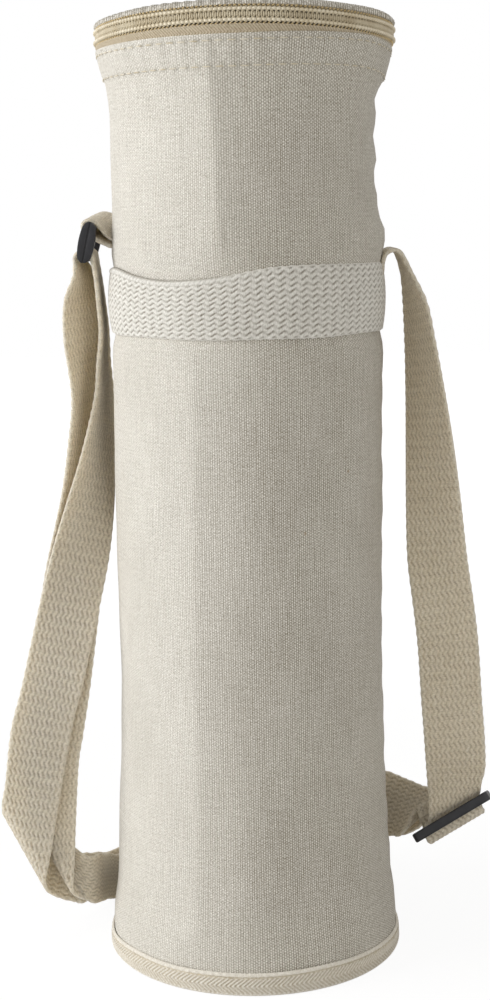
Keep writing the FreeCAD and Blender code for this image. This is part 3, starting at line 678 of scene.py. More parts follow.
# %% Foam and lining
foam_depth = canvas_thickness + layer_gap
lining_depth = foam_depth + foam_thickness + layer_gap
foam_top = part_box("body_foam")[1].z
angle, z = round_grid(120, np.linspace(wall_floor + layer_gap, foam_top, 60))
body_padding = lay_cloth("body_padding", wall_places(angle, z, foam_depth), angle * waist_radius, z)
thicken(body_padding, foam_thickness)
dress(body_padding, foam_cells, "bag", ["body_foam"])

lining_floor, lining_top = (corner.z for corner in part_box("body_lining"))
facing_depth = foam_depth + 0.8 * mm
shelf = foam_top + layer_gap
low_rows, top_rows = 60, 12
lining_levels = np.concatenate([np.linspace(lining_floor, shelf, low_rows),
                                np.linspace(shelf, lining_top, top_rows)])
lining_depths = np.where(np.arange(low_rows + top_rows) < low_rows, lining_depth, facing_depth)
angle, z = round_grid(160, lining_levels)
inner_cloth = lay_cloth("lining_body", wall_places(angle, z, lining_depths[None, :]),
                        angle * waist_radius, z)
thicken(inner_cloth, lining_thickness)
dress(inner_cloth, lining_cloth, "bag", ["body_lining"])


# %% [markdown]
# ## Round cloths
# The base and the lid are discs. A disc is a grid whose first row shrinks to the middle, so
# one function lays every disc from a list of radii and heights.

# %% Discs of the base and the lid
def disc(name, columns, outline, wobble=None):
    radii, heights = np.array(outline).T
    angle, radius = round_grid(columns, radii)
    z = np.broadcast_to(heights, angle.shape)
    if wobble is not None:
        radius, z = wobble(angle, radius, z)
    places = round_places(angle, radius, z)
    return lay_cloth(name, places, places[:, :, 0], places[:, :, 1])


def flat_rows(radius, height, count=14):
    return [(radius * step / count, height) for step in range(count + 1)]


def crowned(angle, radius, z):
    bumps = 0.25 * mm * unevenness(angle, radius, 12, 6, 24 * mm) * smooth(radius / (20 * mm))
    return radius, z + bumps * smooth((outer_reach - radius) / (12 * mm))


outer_reach = foot_radius - 0.5 * mm
lip_radius = foot_radius + layer_gap + 1.3 * mm - 7.6 * mm
panel_step = 1.2 * mm
base_rows = flat_rows(lip_radius - panel_step, 0.2 * mm)
rim_height = 1.4 * mm
rim_reaches = (lip_radius - layer_gap, foot_radius - 2 * mm, outer_reach)
base_rows += [(reach, rim_height) for reach in rim_reaches]
base_cloth = disc("canvas_base", 120, base_rows)
thicken(base_cloth, canvas_thickness - 0.2 * mm, 1.0)
dress(base_cloth, canvas, "bag", ["base_panel"])

pad_low, pad_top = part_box("base_foam")
base_padding = disc("base_padding", 90, flat_rows(pad_top.x - 1.2 * mm, pad_top.z), crowned)
thicken(base_padding, pad_top.z - pad_low.z - 1.4 * mm)
dress(base_padding, foam_cells, "bag", ["base_foam"])

floor_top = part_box("base_lining")[1]
inner_floor = disc("lining_base", 120, flat_rows(floor_top.x - 1.0 * mm, floor_top.z), crowned)
thicken(inner_floor, lining_thickness * 0.6)
dress(inner_floor, lining_cloth, "bag", ["base_lining"])

# %% [markdown]
# ## The binding round the foot
# A twill tape is folded over the raw edges of wall and base and sewn all round. Its weave is
# a herringbone: diagonal ribs that meet in a V along the middle of the tape. The ribs are
# about 1.9 mm apart and show well, so they are real relief in a finely divided mesh. The
# tape's top edge is turned under, which leaves a thin roll with a stitch line below it.

# %% Binding
rib_pitch = 1.9 * mm
binding_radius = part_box("base_binding")[1].x
rib_depth = 0.28 * mm
rib_slant = 1.15
tape_middle = 4.4 * mm
binding_pitch = 3.2 * mm
binding_outline = [(lip_radius, 0.9 * mm), (lip_radius + 0.4 * mm, 0.1 * mm), (lip_radius + 3 * mm, 0.0),
                   (binding_radius - 1.6 * mm, 0.0), (binding_radius - 0.6 * mm, 0.25 * mm)]
tape_face = [(binding_radius, height * mm) for height in np.linspace(0.9, 7.6, 15)]
tape_roll = [(binding_radius - 0.4 * mm, 8.1 * mm), (binding_radius - 0.1 * mm, 8.6 * mm),
             (binding_radius - 0.1 * mm, 9.1 * mm), (binding_radius - 0.4 * mm, 9.6 * mm),
             (binding_radius - 0.9 * mm, 9.8 * mm)]
tape_inside = [(foot_radius + layer_gap, 9.0 * mm), (foot_radius + layer_gap, 2.4 * mm),
               (foot_radius - 0.4 * mm, 1.25 * mm), (lip_radius + 0.8 * mm, 1.25 * mm),
               (lip_radius, 0.9 * mm)]
binding_outline += tape_face + tape_roll + tape_inside
radii, heights = np.array(binding_outline).T
angle, radius = round_grid(1080, radii)
z = np.broadcast_to(heights, angle.shape)
rib_turns = round(2 * math.pi * binding_radius / rib_pitch)
slant = rib_slant * np.abs(z - tape_middle) / rib_pitch * 2 * math.pi
ribs = np.cos(rib_turns * angle - slant)
outside = radius > foot_radius + 0.6 * mm
on_face = smooth((z - 0.5 * mm) / mm) * smooth((7.9 * mm - z) / (0.6 * mm)) * outside
on_roll = smooth((z - 8.2 * mm) / (0.4 * mm)) * outside
ripple = 0.2 * mm * unevenness(angle, z, 21, 6, 40 * mm) * smooth(z / (8 * mm)) * (radius > foot_radius)
gather = 0.16 * mm * np.cos(round(2 * math.pi * binding_radius / binding_pitch) * angle) * on_roll
radius = radius + rib_depth * ribs * on_face + ripple + gather
edge_turns = [-180, -165, -140, -115, -90, -65, -45, -20, 10, 90]
edge_shifts = [-2.4, -2.2, -0.6, -0.2, -0.3, 0.3, -0.4, -1.6, -2.2, 0.0]
lowered = mm * round_profile(angle, edge_turns, edge_shifts)
lowered = lowered + 0.3 * mm * unevenness(angle, 0 * z, 61, 7, 40 * mm)
z = z + lowered * smooth((z - 2 * mm) / (7 * mm))
places = round_places(angle, radius, z)
run = np.concatenate([[0], np.cumsum(np.hypot(np.diff(radii), np.diff(heights)))])
# The relief paints shade: darker in the ribs' grooves, and a narrow painted shadow line just under the
# roll.
relief = np.where(on_face > 0.5, 0.5 + 0.5 * ribs, 0.85)
relief = np.where(np.abs(heights[None, :] - 8.1 * mm) < 0.3 * mm, 0.1, relief)
binding = lay_cloth("twill_binding", places, angle * binding_radius,
                    np.broadcast_to(run, angle.shape), relief)
dress(binding, binding_cloth, "bag", ["base_binding"])

# %% [markdown]
# ## Webbing
# The band and the strap are 25 mm cotton webbing. Twelve rows of thick yarn run along it. The
# gap between two rows runs in a zigzag and is deepest once in each repeat, and the rows are
# a little out of step. A closed section of about 150 points is swept along the webbing, and
# the gaps are pressed into it.

# %% Yarns and section of webbing
yarn_rows = 12
column_width = webbing_width / yarn_rows
strap_repeat = 4.4 * mm
gap_depth = 0.55 * mm
gap_sway = 0.27
gap_width = 0.21
row_drift = 0.55
samples = 6
half_width = webbing_width / 2
half_thickness = webbing_thickness / 2
gap_floor = half_thickness - 0.4 * mm
edge_lift = 0.45 * mm
edge_scallop = 0.12 * mm
roll_width = 2.3 * mm
roll_middle = half_width - 1.1 * mm
roll_radius = 1.15 * mm
roll_pitch = 2.1 * mm


def weave_height(along, across, length, hand):
    """Height of the weave: 1 on the yarns, down to 0 in the gaps between two rows."""
    line = np.round((across + half_width) / column_width)
    turn = 2 * math.pi * along / length + row_drift * np.sin(1.9 * line + 0.5 * along / length)
    sway = gap_sway * hand * (np.sin(turn) - np.sin(3 * turn) / 9)
    row = (across + half_width) / column_width - sway
    from_gap = row - np.round(row)
    gap = swell(from_gap, gap_width) * (0.74 + 0.26 * np.cos(turn))
    plump = 0.14 * (0.5 - 0.5 * np.cos(turn)) * swell(np.abs(from_gap) - 0.5, 0.3)
    return 1 - gap - plump


def webbing_section():
    """Points round the section: across the front, round one edge, back, round the other."""
    across = np.linspace(-half_width, half_width, yarn_rows * samples + 1)
    edge = half_width + 0.25 * mm
    width = np.concatenate([across, [edge], across[::-1], [-edge], across[:1]])
    side = np.concatenate([np.ones(len(across)), [0], -np.ones(len(across)), [0], [1]])
    return width, side


def weave_webbing(name, middle, wide, out, along, slant, length, hand, roll=None, bow=0.0):
    """Sweeps the section along middle points, with a direction across and one outwards."""
    across, side = webbing_section()
    u = along[:, None] + slant[:, None] * across[None, :]
    reverse = np.where(side < 0, 0.5 * length, 0.0)
    crest = weave_height(u + reverse[None, :], across[None, :], length, hand * side[None, :])
    near_edge = np.abs(across) > half_width - 0.1 * mm
    crest = np.where(near_edge[None, :], 1.0, crest)
    lift = gap_floor + gap_depth * crest
    lift = np.where(near_edge[None, :], edge_lift, lift)
    if roll is not None:
        off_roll = (across - roll_middle) / roll_radius
        rolled = np.sqrt(np.clip(1 - off_roll ** 2, 0, 1))[None, :]
        on_roll = roll[:, None] * (across > half_width - roll_width)[None, :]
        twist = np.cos(2 * math.pi * (u / roll_pitch - across[None, :] / (3 * mm)))
        lift = lift * (1 - on_roll) + (0.35 + rolled * (0.85 + 0.12 * twist)) * mm * on_roll
        # The roll's flanks get a low crest, so the shader paints shade along them.
        crest = crest * (1 - on_roll) + (0.25 + rolled * (0.62 + 0.13 * twist)) * on_roll
    scallop = edge_scallop * np.cos(2 * math.pi * u / length) * (side == 0)[None, :]
    spread_out = across[None, :] + np.sign(across)[None, :] * scallop
    places = middle[:, None, :] + wide[:, None, :] * spread_out[:, :, None]
    hollow = bow * (across / half_width) ** 2
    places = places + out[:, None, :] * (lift * side[None, :] - hollow[None, :])[:, :, None]
    around = np.cumsum(np.concatenate([[0], np.hypot(np.diff(across), np.diff(side) * mm)]))
    return lay_cloth(name, places, u, np.broadcast_to(around, u.shape), crest, cap=True)


# %% [markdown]
# ## The waist band
# The band goes once round the bag. The end of the strap is sewn under it at the right. Its
# upper edge isn't level, and from the left to the front it is turned over into a narrow roll.

# %% Waist band
band_repeat = 4.5 * mm
band_bow = 1.3 * mm
band_radius = waist_radius + layer_gap + half_thickness
band_steps = round(2 * math.pi * band_radius / (band_repeat / 7))
band_angle = seam_angle + 2 * math.pi * np.arange(band_steps + 1) / band_steps
over_right = -0.4 * near_angle(band_angle, 0, 15)
over_left = 0.3 * near_angle(band_angle, 180, 16)
uneven_band = 0.22 * unevenness(band_angle, 0 * band_angle, 31, 6, 50 * mm)
band_reach = band_radius + (over_right + over_left + uneven_band) * mm
band_out = np.stack([np.cos(band_angle), np.sin(band_angle), 0 * band_angle], -1)

top_turns = [-180, -160, -142, -125, -107, -93, -84, -72, -40, 0, 60, 120]
top_shifts = [1.2, 2.0, -1.2, -3.0, -2.0, 0.2, 2.2, 3.0, 3.0, 2.6, 0.3, 0.2]
top_wave = mm * round_profile(band_angle, top_turns, top_shifts)
low_wave = 0.35 * mm * unevenness(band_angle, 0 * band_angle, 33, 5, 50 * mm)
rolled_share = round_profile(band_angle, [-180, -108, -86, 60, 150], [1, 1, 0, 0, 1])
band_middle = band_out * band_reach[:, None]
band_middle[:, 2] = (band_low + band_top + top_wave + low_wave) / 2
upwards = np.zeros_like(band_middle)
upwards[:, 2] = 1 + (top_wave - low_wave) / webbing_width
band_repeats = round(2 * math.pi * band_radius / band_repeat)
band_along = band_repeats * band_repeat * np.arange(band_steps + 1) / band_steps
band = weave_webbing("webbing_band", band_middle, upwards, band_out, band_along, 0 * band_along,
                     band_repeat, 1, rolled_share, band_bow)
dress(band, band_cloth, "bag", ["waist_band"])

# %% [markdown]
# ## The strap's route
# The strap is one long piece of webbing. It rises from under the band at the right, runs down
# to the slide buckle, turns round its middle bar, passes behind the bag, folds over at the
# left, climbs to the ring, turns in it, and comes back inside its own path to a loop sewn
# round the buckle's bar. Each row below is a point of the strap's middle line, in shares of
# the sewn roots' reach and of the arch's height, and the direction of its width there.

# %% Route of the strap
root_reach = 61.4 * mm
arch_top = 294.42 * mm
route_reach = np.array([root_reach, root_reach, arch_top, 1, 1, 1])

right_run = np.array([
    (1.0030, 0.0000, 0.9993, 0.00, -1.00, 0.00),
    (1.0220, 0.0000, 0.9955, 0.01, -1.00, 0.00),
    (1.0440, 0.0000, 0.9864, 0.03, -1.00, 0.01),
    (1.0760, 0.0000, 0.9681, 0.06, -1.00, 0.04),
    (1.1270, -0.0325, 0.9290, 0.27, -0.96, 0.05),
    (1.1596, -0.0650, 0.8728, 0.39, -0.92, 0.06),
    (1.1947, -0.1140, 0.7889, 0.57, -0.82, 0.08),
    (1.2182, -0.1465, 0.7186, 0.72, -0.69, 0.09),
    (1.2367, -0.1789, 0.6483, 0.84, -0.54, 0.08),
    (1.2615, -0.2114, 0.5638, 0.95, -0.30, 0.05),
    (1.2965, -0.2280, 0.5069, 1.00, 0.00, -0.01),
    (1.3290, -0.2280, 0.4491, 1.00, 0.00, -0.01),
    (1.3577, -0.2114, 0.3611, 1.00, 0.00, -0.01),
    (1.3838, -0.1630, 0.2993, 1.00, -0.05, 0.00),
    (1.4048, -0.0815, 0.2376, 0.95, -0.12, 0.28),
]) * route_reach
outer_back = np.array([
    (1.3437, 0.3993, 0.1600, 0.68, -0.15, 0.70),
    (1.2055, 0.5540, 0.1430, 0.45, 0.05, 0.85),
    (0.9775, 0.7489, 0.1324, 0.24, 0.25, 0.92),
    (0.6839, 0.9775, 0.1155, 0.15, 0.36, 0.92),
    (0.3260, 1.1482, 0.0951, 0.08, 0.36, 0.93),
    (-0.0815, 1.1889, 0.0748, 0.00, 0.36, 0.93),
    (-0.4725, 1.0991, 0.0560, -0.10, 0.22, 0.96),
    (-0.7979, 0.9119, 0.0434, -0.15, -0.10, 0.97),
    (-1.0444, 0.7088, 0.0405, -0.12, -0.42, 0.90),
    (-1.1240, 0.5050, 0.0520, -0.05, -0.28, 0.96),
    (-1.1622, 0.3095, 0.0665, -0.02, -0.33, 0.94),
    (-1.1896, 0.1305, 0.0800, -0.04, -0.27, 0.96),
    (-1.2462, -0.0166, 0.0885, -0.10, -0.30, 0.95),
]) * route_reach
left_front = np.array([
    (-1.4360, -0.2445, 0.3343, -1.00, 0.00, 0.01),
    (-1.3685, -0.2445, 0.3851, -1.00, 0.00, 0.01),
    (-1.2902, -0.2114, 0.4555, -1.00, 0.00, 0.01),
    (-1.2290, -0.1630, 0.5109, -0.98, -0.17, 0.05),
    (-1.1564, -0.0974, 0.5786, -0.92, -0.39, 0.09),
    (-1.0870, 0.0000, 0.6514, -0.71, -0.70, 0.12),
    (-1.0514, 0.0650, 0.6984, -0.51, -0.85, 0.13),
    (-1.0221, 0.1305, 0.7462, -0.36, -0.93, 0.09),
    (-0.9972, 0.1598, 0.8016, -0.20, -0.98, 0.00),
    (-0.9960, 0.1496, 0.8424, -0.12, -0.99, 0.00),
    (-0.9860, 0.1140, 0.8899, -0.04, -1.00, 0.00),
    (-0.9990, 0.0751, 0.9307, -0.02, -1.00, 0.00),
    (-1.0130, 0.0446, 0.9646, 0.00, -1.00, 0.00),
]) * route_reach
left_rear = np.array([
    (-1.1080, 0.0382, 0.9681, -0.26, -0.96, 0.00),
    (-1.1180, 0.0446, 0.9384, -0.52, -0.86, 0.03),
    (-1.1260, 0.0650, 0.8800, -0.56, -0.83, 0.06),
    (-1.1260, 0.0974, 0.8307, -0.42, -0.90, 0.09),
    (-1.1367, 0.1305, 0.7867, -0.28, -0.96, 0.11),
    (-1.1494, 0.1305, 0.7302, -0.37, -0.92, 0.13),
    (-1.1730, 0.0974, 0.6643, -0.47, -0.87, 0.14),
    (-1.1972, 0.0490, 0.6064, -0.65, -0.75, 0.15),
    (-1.2138, 0.0000, 0.5616, -0.84, -0.53, 0.12),
    (-1.2399, -0.0732, 0.5066, -0.96, -0.25, 0.07),
    (-1.2736, -0.1350, 0.4515, -1.00, 0.00, 0.01),
    (-1.3182, -0.1840, 0.3814, -1.00, 0.00, 0.01),
    (-1.3698, -0.1987, 0.3166, -1.00, 0.00, 0.01),
    (-1.4048, -0.2038, 0.2730, -1.00, 0.00, 0.01),
]) * route_reach
inner_back = np.array([
    (-1.1526, -0.0783, 0.0930, -0.10, -0.30, 0.95),
    (-1.0845, 0.0974, 0.0815, -0.03, -0.27, 0.96),
    (-1.0698, 0.2929, 0.0665, 0.00, -0.33, 0.94),
    (-1.0444, 0.4560, 0.0545, -0.06, -0.28, 0.96),
    (-0.9616, 0.6515, 0.0415, -0.13, -0.42, 0.90),
    (-0.7489, 0.8470, 0.0449, -0.15, -0.10, 0.97),
    (-0.4477, 1.0259, 0.0628, -0.10, 0.22, 0.96),
    (-0.0815, 1.1157, 0.0883, 0.00, 0.36, 0.93),
    (0.3095, 1.0781, 0.1189, 0.08, 0.36, 0.93),
    (0.6432, 0.9119, 0.1401, 0.15, 0.36, 0.92),
    (0.9119, 0.6922, 0.1547, 0.20, 0.38, 0.90),
    (1.0749, 0.5050, 0.1520, 0.34, 0.33, 0.88),
    (1.1640, 0.3560, 0.1550, 0.60, 0.26, 0.75),
    (1.2500, 0.2280, 0.1700, 0.82, 0.14, 0.54),
]) * route_reach
front_fold_place = np.array([-1.5615, -0.2522, 0.1833]) * route_reach[:3]
rear_fold_place = np.array([-1.4105, -0.2070, 0.1614]) * route_reach[:3]
buckle_place = np.array([1.3984, 0.0707, 0.1695]) * route_reach[:3]
runs = (right_run, outer_back, left_front, left_rear, inner_back)
print("route rows:", sum(len(rows) for rows in runs))

# %% [markdown]
# ## Turns and folds
# Round a bar the strap makes a half turn. At the left it is folded over on a slant: it rolls
# round a sloping crease and comes back behind itself, running another way. The lines across
# the roll all lie along the crease, so they are longer than the strap is wide.

# %% Turns and folds
turn_steps = 8
front_fold_radius = 6.4 * mm
rear_fold_radius = 2.6 * mm
ring_bar = 1.9 * mm
core_bar = 1.5 * mm
loop_gap = 0.4 * mm
loop_radius = core_bar + loop_gap + half_thickness
turn_radius = loop_radius + webbing_thickness + loop_gap
bight_radius = ring_bar + loop_gap + half_thickness
plate_half = 2.0 * mm


def unit(way):
    way = np.asarray(way, float)
    return way / np.linalg.norm(way)


bars_along = unit([0.857, 0.0, 0.515])
slots_along = unit([0.176, 0.939, -0.293])
face_out = unit(np.cross(bars_along, slots_along))
fold_crease = unit([0.457, 0.0, -0.890])
slot_skew = 1 / bars_along[0]


def row_of(place, wide):
    return np.concatenate([place, wide])


def half_turn(middle, start, toward, radius, wide, sweep=math.pi, steps=turn_steps):
    rows = []
    for turn in np.linspace(0, sweep, steps + 1):
        place = middle + radius * (np.cos(turn) * np.array(start) + np.sin(turn) * np.array(toward))
        rows.append(row_of(place, wide))
    return np.array(rows)


def diagonal_fold(place, way, wide, radius):
    back = unit(np.cross(wide, way))
    side = way - fold_crease * way.dot(fold_crease)
    advance = way.dot(fold_crease) / np.linalg.norm(side)
    side = unit(side)
    stretch = 1 / fold_crease.dot(unit(wide - way * wide.dot(way)))
    rows = []
    for turn in np.linspace(0, math.pi, turn_steps + 1):
        point = place + back * radius * (1 - math.cos(turn)) + side * radius * math.sin(turn)
        rows.append(row_of(point + fold_crease * advance * radius * turn, fold_crease * -stretch))
    return np.array(rows)


def near_buckle(across_share, out_share, stretch):
    place = buckle_place + slots_along * across_share * turn_radius + face_out * out_share * plate_half
    return row_of(place, bars_along * stretch)


ring_low, ring_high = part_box("strap_ring")
ring_place = np.array((ring_low + ring_high) / 2)
ring_drop = np.array([0, 0, (ring_high.z - ring_low.z) / 2 - ring_bar])
ring_lean = math.radians(12)
ring_shift = np.array([1.3 * mm, 0, 0])
leaning = np.array([math.sin(ring_lean), 0, math.cos(ring_lean)])
upper_bar = ring_place + ring_shift + ring_drop[2] * leaning
toward_front = np.array([0.0, -1.0, 0.0])

root_points = [(54.9, 279), (55.0, 283), (55.2, 287), (55.6, 290.3), (56.6, 292.8), (58.4, 294.2),
               (60.3, 294.5)]
root_rows = np.array([row_of((x * mm, 0, z * mm), toward_front) for x, z in root_points])
entry_rows = np.array([row_of((86.1 * mm, -3.2 * mm, 63.0 * mm), (0.88, -0.06, 0.38)),
                       row_of((85.9 * mm, -1.2 * mm, 56.5 * mm), bars_along * 1.03)])
exit_rows = np.array([near_buckle(1.0, 1.3, 1.12), near_buckle(1.9, 4.6, 1.05)])
end_rows = np.array([near_buckle(0.4, 5.0, 1.03), near_buckle(0.0, 2.9, 1.0)])
buckle_rows = half_turn(buckle_place - bars_along * 0.8 * mm, -slots_along, -face_out, turn_radius,
                        bars_along * slot_skew * 0.94)
front_fold = diagonal_fold(front_fold_place, unit(left_front[0, :3] - left_front[2, :3]),
                           unit(-left_front[0, 3:]), front_fold_radius)[::-1]
bight_rows = half_turn(ring_place - ring_drop, (1, 0, 0), (0, 0, 1), bight_radius, toward_front)
bight_rows[:, 3] = np.linspace(0, -0.06, len(bight_rows))
rear_fold = diagonal_fold(rear_fold_place, unit(left_rear[-1, :3] - left_rear[-3, :3]),
                          unit(-left_rear[-1, 3:]), rear_fold_radius)

# %% [markdown]
# ## Weaving the strap
# A smooth line goes through all the rows, and the section is swept along it in short steps.
# Where the lines across are slanted, at a fold, the weave is counted along the strap's own
# length, so it runs through the fold unbroken. The strap is cut into the same
# stretches as the CAD model, which keeps each mesh a handy size.

# %% The strap
strap_step = 0.66 * mm
even_step = 0.3 * mm
soft_twist = 4.0 * mm


def smooth_rows(rows, per_span=14):
    """A smooth line through all rows, as many short spans, with its length so far."""
    gaps = np.sqrt(np.linalg.norm(np.diff(rows[:, :3], axis=0), axis=1))
    knots = np.concatenate([[0], np.cumsum(gaps)])
    slopes = np.gradient(rows, knots, axis=0)
    fine = []
    for index in range(len(rows) - 1):
        share = np.linspace(0, 1, per_span, endpoint=False)[:, None]
        span = knots[index + 1] - knots[index]
        blend = smooth(share)
        start_pull = share * (1 - share) ** 2 * span
        end_pull = -share ** 2 * (1 - share) * span
        fine.append(rows[index] * (1 - blend) + rows[index + 1] * blend
                    + slopes[index] * start_pull + slopes[index + 1] * end_pull)
    fine = np.concatenate(fine + [rows[-1:]])
    length = np.concatenate([[0], np.cumsum(np.linalg.norm(np.diff(fine[:, :3], axis=0), axis=1))])
    marks = length[::per_span]
    even = np.linspace(0, length[-1], round(length[-1] / even_step) + 1)
    fine = np.stack([np.interp(even, length, fine[:, axis]) for axis in range(6)], -1)
    reach = round(3 * soft_twist / even_step)
    weights = swell(np.arange(-reach, reach + 1) * even_step, soft_twist)
    weights /= weights.sum()
    padded = np.pad(fine, ((reach, reach), (0, 0)), mode="edge")
    for axis in range(3, 6):
        fine[:, axis] = np.convolve(padded[:, axis], weights, mode="valid")
    return fine, even, marks


def strap_piece(name, fine, length, start, end):
    count = max(4, round((end - start) / strap_step))
    along = np.linspace(start, end, count + 1)
    ahead = 0.4 * mm

    def row_at(run):
        return np.stack([np.interp(run, length, fine[:, axis]) for axis in range(6)], -1)

    rows = row_at(along)
    after = row_at(np.minimum(along + ahead, length[-1]))
    before = row_at(np.maximum(along - ahead, 0))
    way = after[:, :3] - before[:, :3]
    way /= np.linalg.norm(way, axis=1)[:, None]
    wide = rows[:, 3:]
    out = np.cross(wide, way)
    out /= np.linalg.norm(out, axis=1)[:, None]
    slant = np.sum(wide * way, axis=1)
    return weave_webbing(name, rows[:, :3], wide, out, along, slant, strap_repeat, -1)


stretches = [root_rows, right_run, entry_rows, buckle_rows, exit_rows, outer_back, front_fold, left_front,
             bight_rows, left_rear, rear_fold, inner_back, end_rows]
ends = np.cumsum([len(rows) for rows in stretches]) - 1
fine, length, marks = smooth_rows(np.concatenate(stretches))
cuts = {"webbing_right_run": (0, ends[2], "strap_right_run"),
        "webbing_buckle_turn": (ends[2], ends[3] + 1, "strap_buckle_turn"),
        "webbing_back_outer": (ends[3] + 1, ends[5], "strap_back_outer"),
        "webbing_left_front": (ends[5], ends[7], "strap_left_front"),
        "webbing_ring_bight": (ends[7], ends[8], "strap_ring_bight"),
        "webbing_left_rear": (ends[8], ends[10], "strap_left_rear"),
        "webbing_back_inner": (ends[10], ends[12], "strap_back_inner")}
for name, (first, last, node) in cuts.items():
    piece = strap_piece(name, fine, length, marks[first], marks[last])
    if node == "strap_right_run":
        dress(piece, webbing, None, [node, "strap_root_right"])
        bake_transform(piece)
    else:
        dress(piece, webbing, "strap", [node])
print("strap, root to end:", round(length[-1], 3), "m")

# %% [markdown]
# ## Sewn loop and ring tab
# The strap's end is a small closed loop round the buckle's middle bar. The ring hangs in a
# short tab: webbing that comes out of the side of the bag, goes over the ring's upper bar and
# returns. It is sewn in on a slant, so it twists on its way to the ring.

# %% Loop and tab
loop_rows = half_turn(buckle_place, face_out, slots_along, loop_radius, bars_along, math.radians(350), 24)
loop_rows = np.concatenate([end_rows[-1:], loop_rows])
loop_fine, loop_length, loop_marks = smooth_rows(loop_rows)
end_loop = strap_piece("webbing_end_loop", loop_fine, loop_length, loop_marks[0], loop_marks[-1])
dress(end_loop, webbing, "strap", ["strap_end_loop"])

tab_up = [(-52.8, 304.6, 0.43), (-55.8, 305.4, 0.43), (-58.6, 307.0, 0.34), (-61.4, 308.6, 0.2)]
tab_down = [(-61.6, 302.4, 0.2), (-58.8, 302.3, 0.34), (-55.8, 302.2, 0.43), (-52.8, 301.6, 0.43)]
ring_back = ring_place[1]


def tab_row(x, z, droop):
    return row_of((x * mm, ring_back, z * mm), (0, -math.sqrt(1 - droop ** 2), -droop))


tab_turn = half_turn(upper_bar, (0, 0, 1), (-1, 0, 0), bight_radius, toward_front)
up_rows, down_rows = (np.array([tab_row(*point) for point in side]) for side in (tab_up, tab_down))
tab_fine, tab_length, tab_marks = smooth_rows(np.concatenate([up_rows, tab_turn, down_rows]))
ring_tab = strap_piece("webbing_ring_tab", tab_fine, tab_length, tab_marks[0], tab_marks[-1])
dress(ring_tab, webbing, None, ["ring_tab", "tab_root_upper", "tab_root_lower"])
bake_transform(ring_tab)

# %% [markdown]
# ## Moulded plastic
# The ring and the slide buckle are plain mouldings, so they are modelled from blocks: a cube
# gets its size, its corners are rounded with a bevel, and openings are cut by slicing the
# faces along the opening's edges, taking the middle out and bridging the two holes.

# %% Tools for blocks
def start_block(name, size):
    deselect_all()
    bpy.ops.mesh.primitive_cube_add(size=1)
    piece = bpy.context.object
    piece.name = name
    piece.data.name = name
    piece.scale = size
    bpy.ops.object.transform_apply(location=False, rotation=False, scale=True)
    return piece


def slice_block(piece, places_and_normals):
    activate(piece)
    bpy.ops.object.mode_set(mode="EDIT")
    for place, normal in places_and_normals:
        bpy.ops.mesh.select_all(action="SELECT")
        bpy.ops.mesh.bisect(plane_co=place, plane_no=normal)
    bpy.ops.mesh.select_all(action="DESELECT")
    bpy.ops.object.mode_set(mode="OBJECT")


def pick_faces(piece, wanted):
    activate(piece)
    for face in piece.data.polygons:
        face.select = bool(wanted(face.center, face.normal))
    bpy.ops.object.mode_set(mode="EDIT")
    bpy.ops.mesh.select_mode(type="FACE")


def press_in(piece, wanted, depth):
    """Sinks the wanted faces into the block."""
    pick_faces(piece, wanted)
    bpy.ops.mesh.extrude_region_shrink_fatten(TRANSFORM_OT_shrink_fatten={"value": -depth})
    bpy.ops.object.mode_set(mode="OBJECT")


def round_corners(piece, axis, thickness, radius, segments):
    """Rounds the edges of a block that run along one axis, through its thickness."""
    activate(piece)
    points = piece.data.vertices
    bpy.ops.object.mode_set(mode="EDIT")
    bpy.ops.mesh.select_mode(type="EDGE")
    bpy.ops.mesh.select_all(action="DESELECT")
    bpy.ops.object.mode_set(mode="OBJECT")
    for edge in piece.data.edges:
        first, second = (points[index].co[axis] for index in edge.vertices)
        edge.select = abs(first - second) > thickness / 2
    bpy.ops.object.mode_set(mode="EDIT")
    bpy.ops.mesh.bevel(offset=radius, segments=segments)
    bpy.ops.object.mode_set(mode="OBJECT")


def cut_window(piece, half_x, half_y, middle_y=0.0):
    """An opening right through a plate, from face to face."""
    slice_block(piece, [((-half_x, 0, 0), (1, 0, 0)), ((half_x, 0, 0), (1, 0, 0)),
                        ((0, middle_y - half_y, 0), (0, 1, 0)), ((0, middle_y + half_y, 0), (0, 1, 0))])
    pick_faces(piece, lambda centre, normal: abs(normal.z) > 0.9 and abs(centre.x) < half_x
               and abs(centre.y - middle_y) < half_y)
    bpy.ops.mesh.delete(type="FACE")
    bpy.ops.mesh.select_mode(type="EDGE")
    bpy.ops.mesh.select_all(action="DESELECT")
    bpy.ops.mesh.select_non_manifold()
    bpy.ops.mesh.bridge_edge_loops()
    bpy.ops.object.mode_set(mode="OBJECT")


def soften_edges(piece, width, segments=3):
    activate(piece)
    rounding = piece.modifiers.new("rounding", "BEVEL")
    rounding.width = width
    rounding.segments = segments
    rounding.limit_method = "ANGLE"
    rounding.angle_limit = math.radians(35)
    bpy.ops.object.modifier_apply(modifier=rounding.name)


def rod(name, radius, length, place, turn):
    deselect_all()
    bpy.ops.mesh.primitive_cylinder_add(vertices=32, radius=radius, depth=length, location=place,
                                        rotation=turn)
    piece = bpy.context.object
    piece.name = name
    bpy.ops.object.transform_apply(location=True, rotation=True, scale=True)
    return piece


def join_blocks(pieces):
    activate(pieces[0])
    for piece in pieces:
        piece.select_set(True)
    bpy.ops.object.join()
    return pieces[0]


def put_at(piece, matrix):
    activate(piece)
    piece.matrix_world = matrix
    bpy.ops.object.transform_apply(location=True, rotation=True, scale=True)


# %% [markdown]
# ## The ring
# The ring is a short rectangular loop. Its two rails are leaf-shaped when seen from the side
# and carry a fine groove where the halves of the mould met. Two round bars join them.

